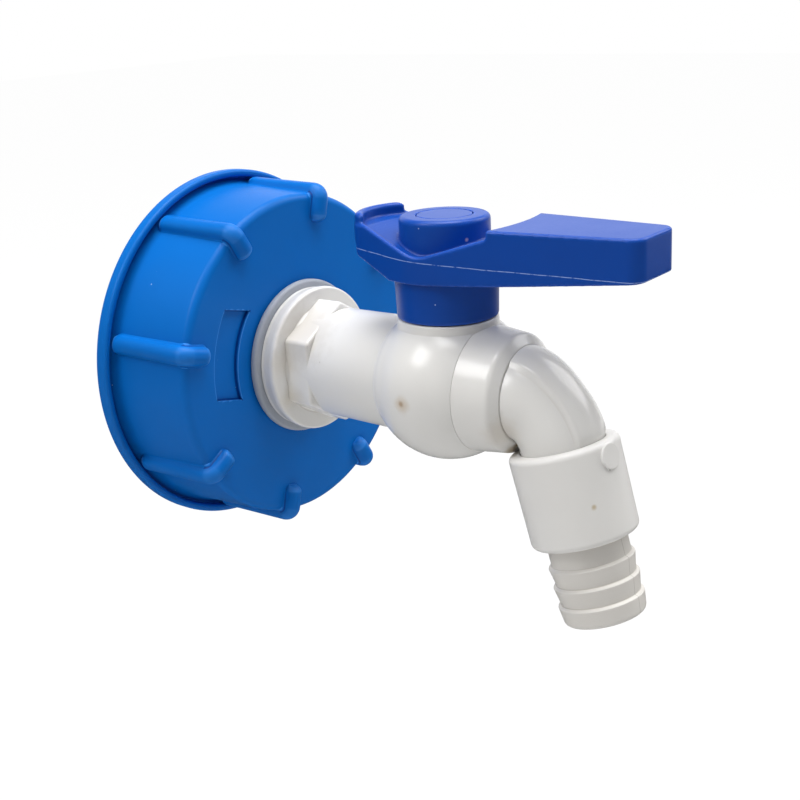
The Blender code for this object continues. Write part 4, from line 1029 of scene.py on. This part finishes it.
def makeLever():
    thing = meshFrom("lever", [(0, 0, 0), (1, 0, 0), (0, 1, 0)], [(0, 1, 2)])
    shared = [key for key in lever if not key.startswith("pocket")]
    board, take, values = openTree("leverShape", [
        ("Low", "Vector", leverBox[0]), ("High", "Vector", leverBox[1]), ("Finish", "Material", finishes["leverBlue"]),
        *[(titleOf(key), "Float", lever[key]) for key in shared]])
    span = board.node("ShaderNodeVectorMath", {"operation": "SUBTRACT"}, {0: take["High"], 1: take["Low"]})
    counts = [board.axis(span, letter) / take["Cell"] for letter in "XYZ"]
    field = (-leverField(board, {key: take[titleOf(key)] for key in shared})).atMost(1.5).atLeast(-1.5)
    volume = board.node("GeometryNodeVolumeCube", {}, {
        "Density": field, "Background": -1.5, "Min": take["Low"], "Max": take["High"],
        "Resolution X": counts[0], "Resolution Y": counts[1], "Resolution Z": counts[2]})
    shape = board.node("GeometryNodeVolumeToMesh", {"resolution_mode": "GRID"},
                       {"Volume": volume, "Threshold": 0.0, "Adaptivity": 0.0})
    closeTree(board, shape, take["Finish"], thing, values)
    print("lever mesh:", len(thing.data.vertices), "points")
    finishPiece(onLeverAxis(thing), "lever", "handle", "leverBlue", sharp=60.0)


def makePlug():
    top = lever["bossTop"] - 0.02
    rim = lever["plugHole"] - plug["gap"]
    button = lathe("plug", [
        (top - plug["thick"], 0, 0),
        (top - plug["thick"], plug["cup"], 0),
        (plug["low"], plug["cup"], 0),
        (plug["low"], rim, 0),
        (top, rim, plug["edge"]),
        (top, 0, 0),
    ], 96, axis="z", closed=False, corner=4)
    finishPiece(onLeverAxis(button), "lever", "handle_plug", "leverBlue")


makeLever()
makePlug()
print("lever made")


# inner CAD nodes keep their shape and take a finish
innerFinishes = {
    "cap_gasket": "rubberBlack", "seat_inlet": "sealWhite", "seat_outlet": "sealWhite", "ball": "sealWhite",
    "stem": "spoutWhite", "stem_thrust_washer": "sealWhite", "stem_o_ring_lower": "rubberBlack",
    "stem_o_ring_upper": "rubberBlack", "end_piece_o_ring": "rubberBlack", "elbow_o_ring": "rubberBlack",
    "hose_tail_washer": "rubberGrey", "handle_screw": "screwSteel",
}
for name, finish in innerFinishes.items():
    for place in nodes[name].material_slots:
        place.material = finishes[finish]
print("inner nodes finished")


stage = {
    "floorZ": -0.150, "floorSize": 6.0, "floorTone": 0.64, "floorGlow": 1.045, "floorShare": 0.93,
    "around": 0.32,        # light from all round
    "dim": 0.04,           # what shiny faces see on the camera's side, where the studio is dark
    "keyPower": 2.6, "keySize": 0.34, "keyAt": (-0.18, -0.55, 0.57),
    "topPower": 10.6, "topSize": 0.7, "topAt": (0.10, 0.05, 0.85),
    "rimPower": 3.0, "rimSize": 0.5, "rimAt": (0.38, 0.62, 0.52),
    "aim": (0.06, 0, 0),   # what the lamps point at
}
photo = {
    "size": 800, "focal": 1341.80,
    "azimuth": 39.37, "elevation": 17.68, "roll": -2.91,
    "eye": (232.65, -219.65, 83.93),
}


# 1 far behind the object, as the photograph looks at it, and dim on the camera's side
def behind(board, spot, far, close):
    a = radians(photo["azimuth"])
    near = board.node("ShaderNodeVectorMath", {"operation": "DOT_PRODUCT"}, {0: spot, 1: (sin(a), -cos(a), 0)},
                      "Value")
    return 1.0 - board.step(near, far, close) * (1.0 - stage["dim"])


# 1 for what the camera sees directly, and 1 for what it sees mirrored or through something
def rayKinds(board):
    path = board.tree.nodes.new("ShaderNodeLightPath")
    camera, glossy, through = (
        Wire(board, path.outputs[f"Is {kind} Ray"]) for kind in ("Camera", "Glossy", "Transmission"))
    return camera, glossy.atLeast(through)


def makeFloor():
    half = stage["floorSize"] / 2
    floor = meshFrom("floor", [(-half, -half, 0), (half, -half, 0), (half, half, 0), (-half, half, 0)],
                     [(0, 1, 2, 3)])
    floor.location = (0, 0, stage["floorZ"])
    material, board, shader = newMaterial("paleFloor")
    shader.inputs["Base Color"].default_value = rgba([stage["floorTone"]] * 3)
    shader.inputs["Roughness"].default_value = 0.9
    camera, mirrored = rayKinds(board)
    coords = board.node("ShaderNodeTexCoord", output="Object")
    strength = camera * stage["floorGlow"] + mirrored * behind(board, coords, -0.7, -0.3)
    glow = board.node("ShaderNodeEmission", {}, {"Color": (1, 1, 1, 1), "Strength": strength})
    mixed = board.node("ShaderNodeMixShader", {}, {0: (camera * stage["floorShare"]).atLeast(mirrored),
                                                   1: Wire(board, shader.outputs[0]), 2: glow})
    board.join(mixed, material.node_tree.nodes["Material Output"].inputs["Surface"])
    floor.data.materials.append(material)


def makeLight():
    world = bpy.data.worlds.new("studio")
    bpy.context.scene.world = world
    world.use_nodes = True
    board = Board(world.node_tree)
    camera, mirrored = rayKinds(board)
    way = board.node("ShaderNodeTexCoord", output="Generated")
    back = world.node_tree.nodes["Background"]
    back.inputs["Color"].default_value = (1, 1, 1, 1)
    diffuse = (1.0 - camera.atLeast(mirrored)) * stage["around"]
    strength = camera + mirrored * behind(board, way, -0.92, -0.58) + diffuse
    board.join(strength, back.inputs["Strength"])
    for name in ("key", "top", "rim"):
        data = bpy.data.lights.new(name, "AREA")
        data.energy = stage[name + "Power"]
        data.size = stage[name + "Size"]
        lamp = bpy.data.objects.new(name, data)
        bpy.context.scene.collection.objects.link(lamp)
        lamp.location = stage[name + "At"]
        aim = Vector(stage["aim"]) - lamp.location
        lamp.rotation_euler = aim.to_track_quat("-Z", "Y").to_euler()


def makeCamera():
    a, e, r = (radians(photo[key]) for key in ("azimuth", "elevation", "roll"))
    back = Vector((sin(a) * cos(e), -cos(a) * cos(e), sin(e)))
    level = Vector((cos(a), sin(a), 0))
    up = back.cross(level)
    right = level * cos(r) + up * sin(r)
    up = up * cos(r) - level * sin(r)
    data = bpy.data.cameras.new("camera")
    data.sensor_width = 36.0
    data.lens = photo["focal"] / photo["size"] * data.sensor_width
    data.clip_start = 0.01
    data.clip_end = 20.0
    camera = bpy.data.objects.new("camera", data)
    bpy.context.scene.collection.objects.link(camera)
    place = Matrix((right, up, back)).transposed().to_4x4()
    place.translation = Vector(photo["eye"]) * mm
    camera.matrix_world = place
    bpy.context.scene.camera = camera


makeFloor()
makeLight()
makeCamera()
bpy.context.scene.view_settings.view_transform = "Standard"
print("stage made")
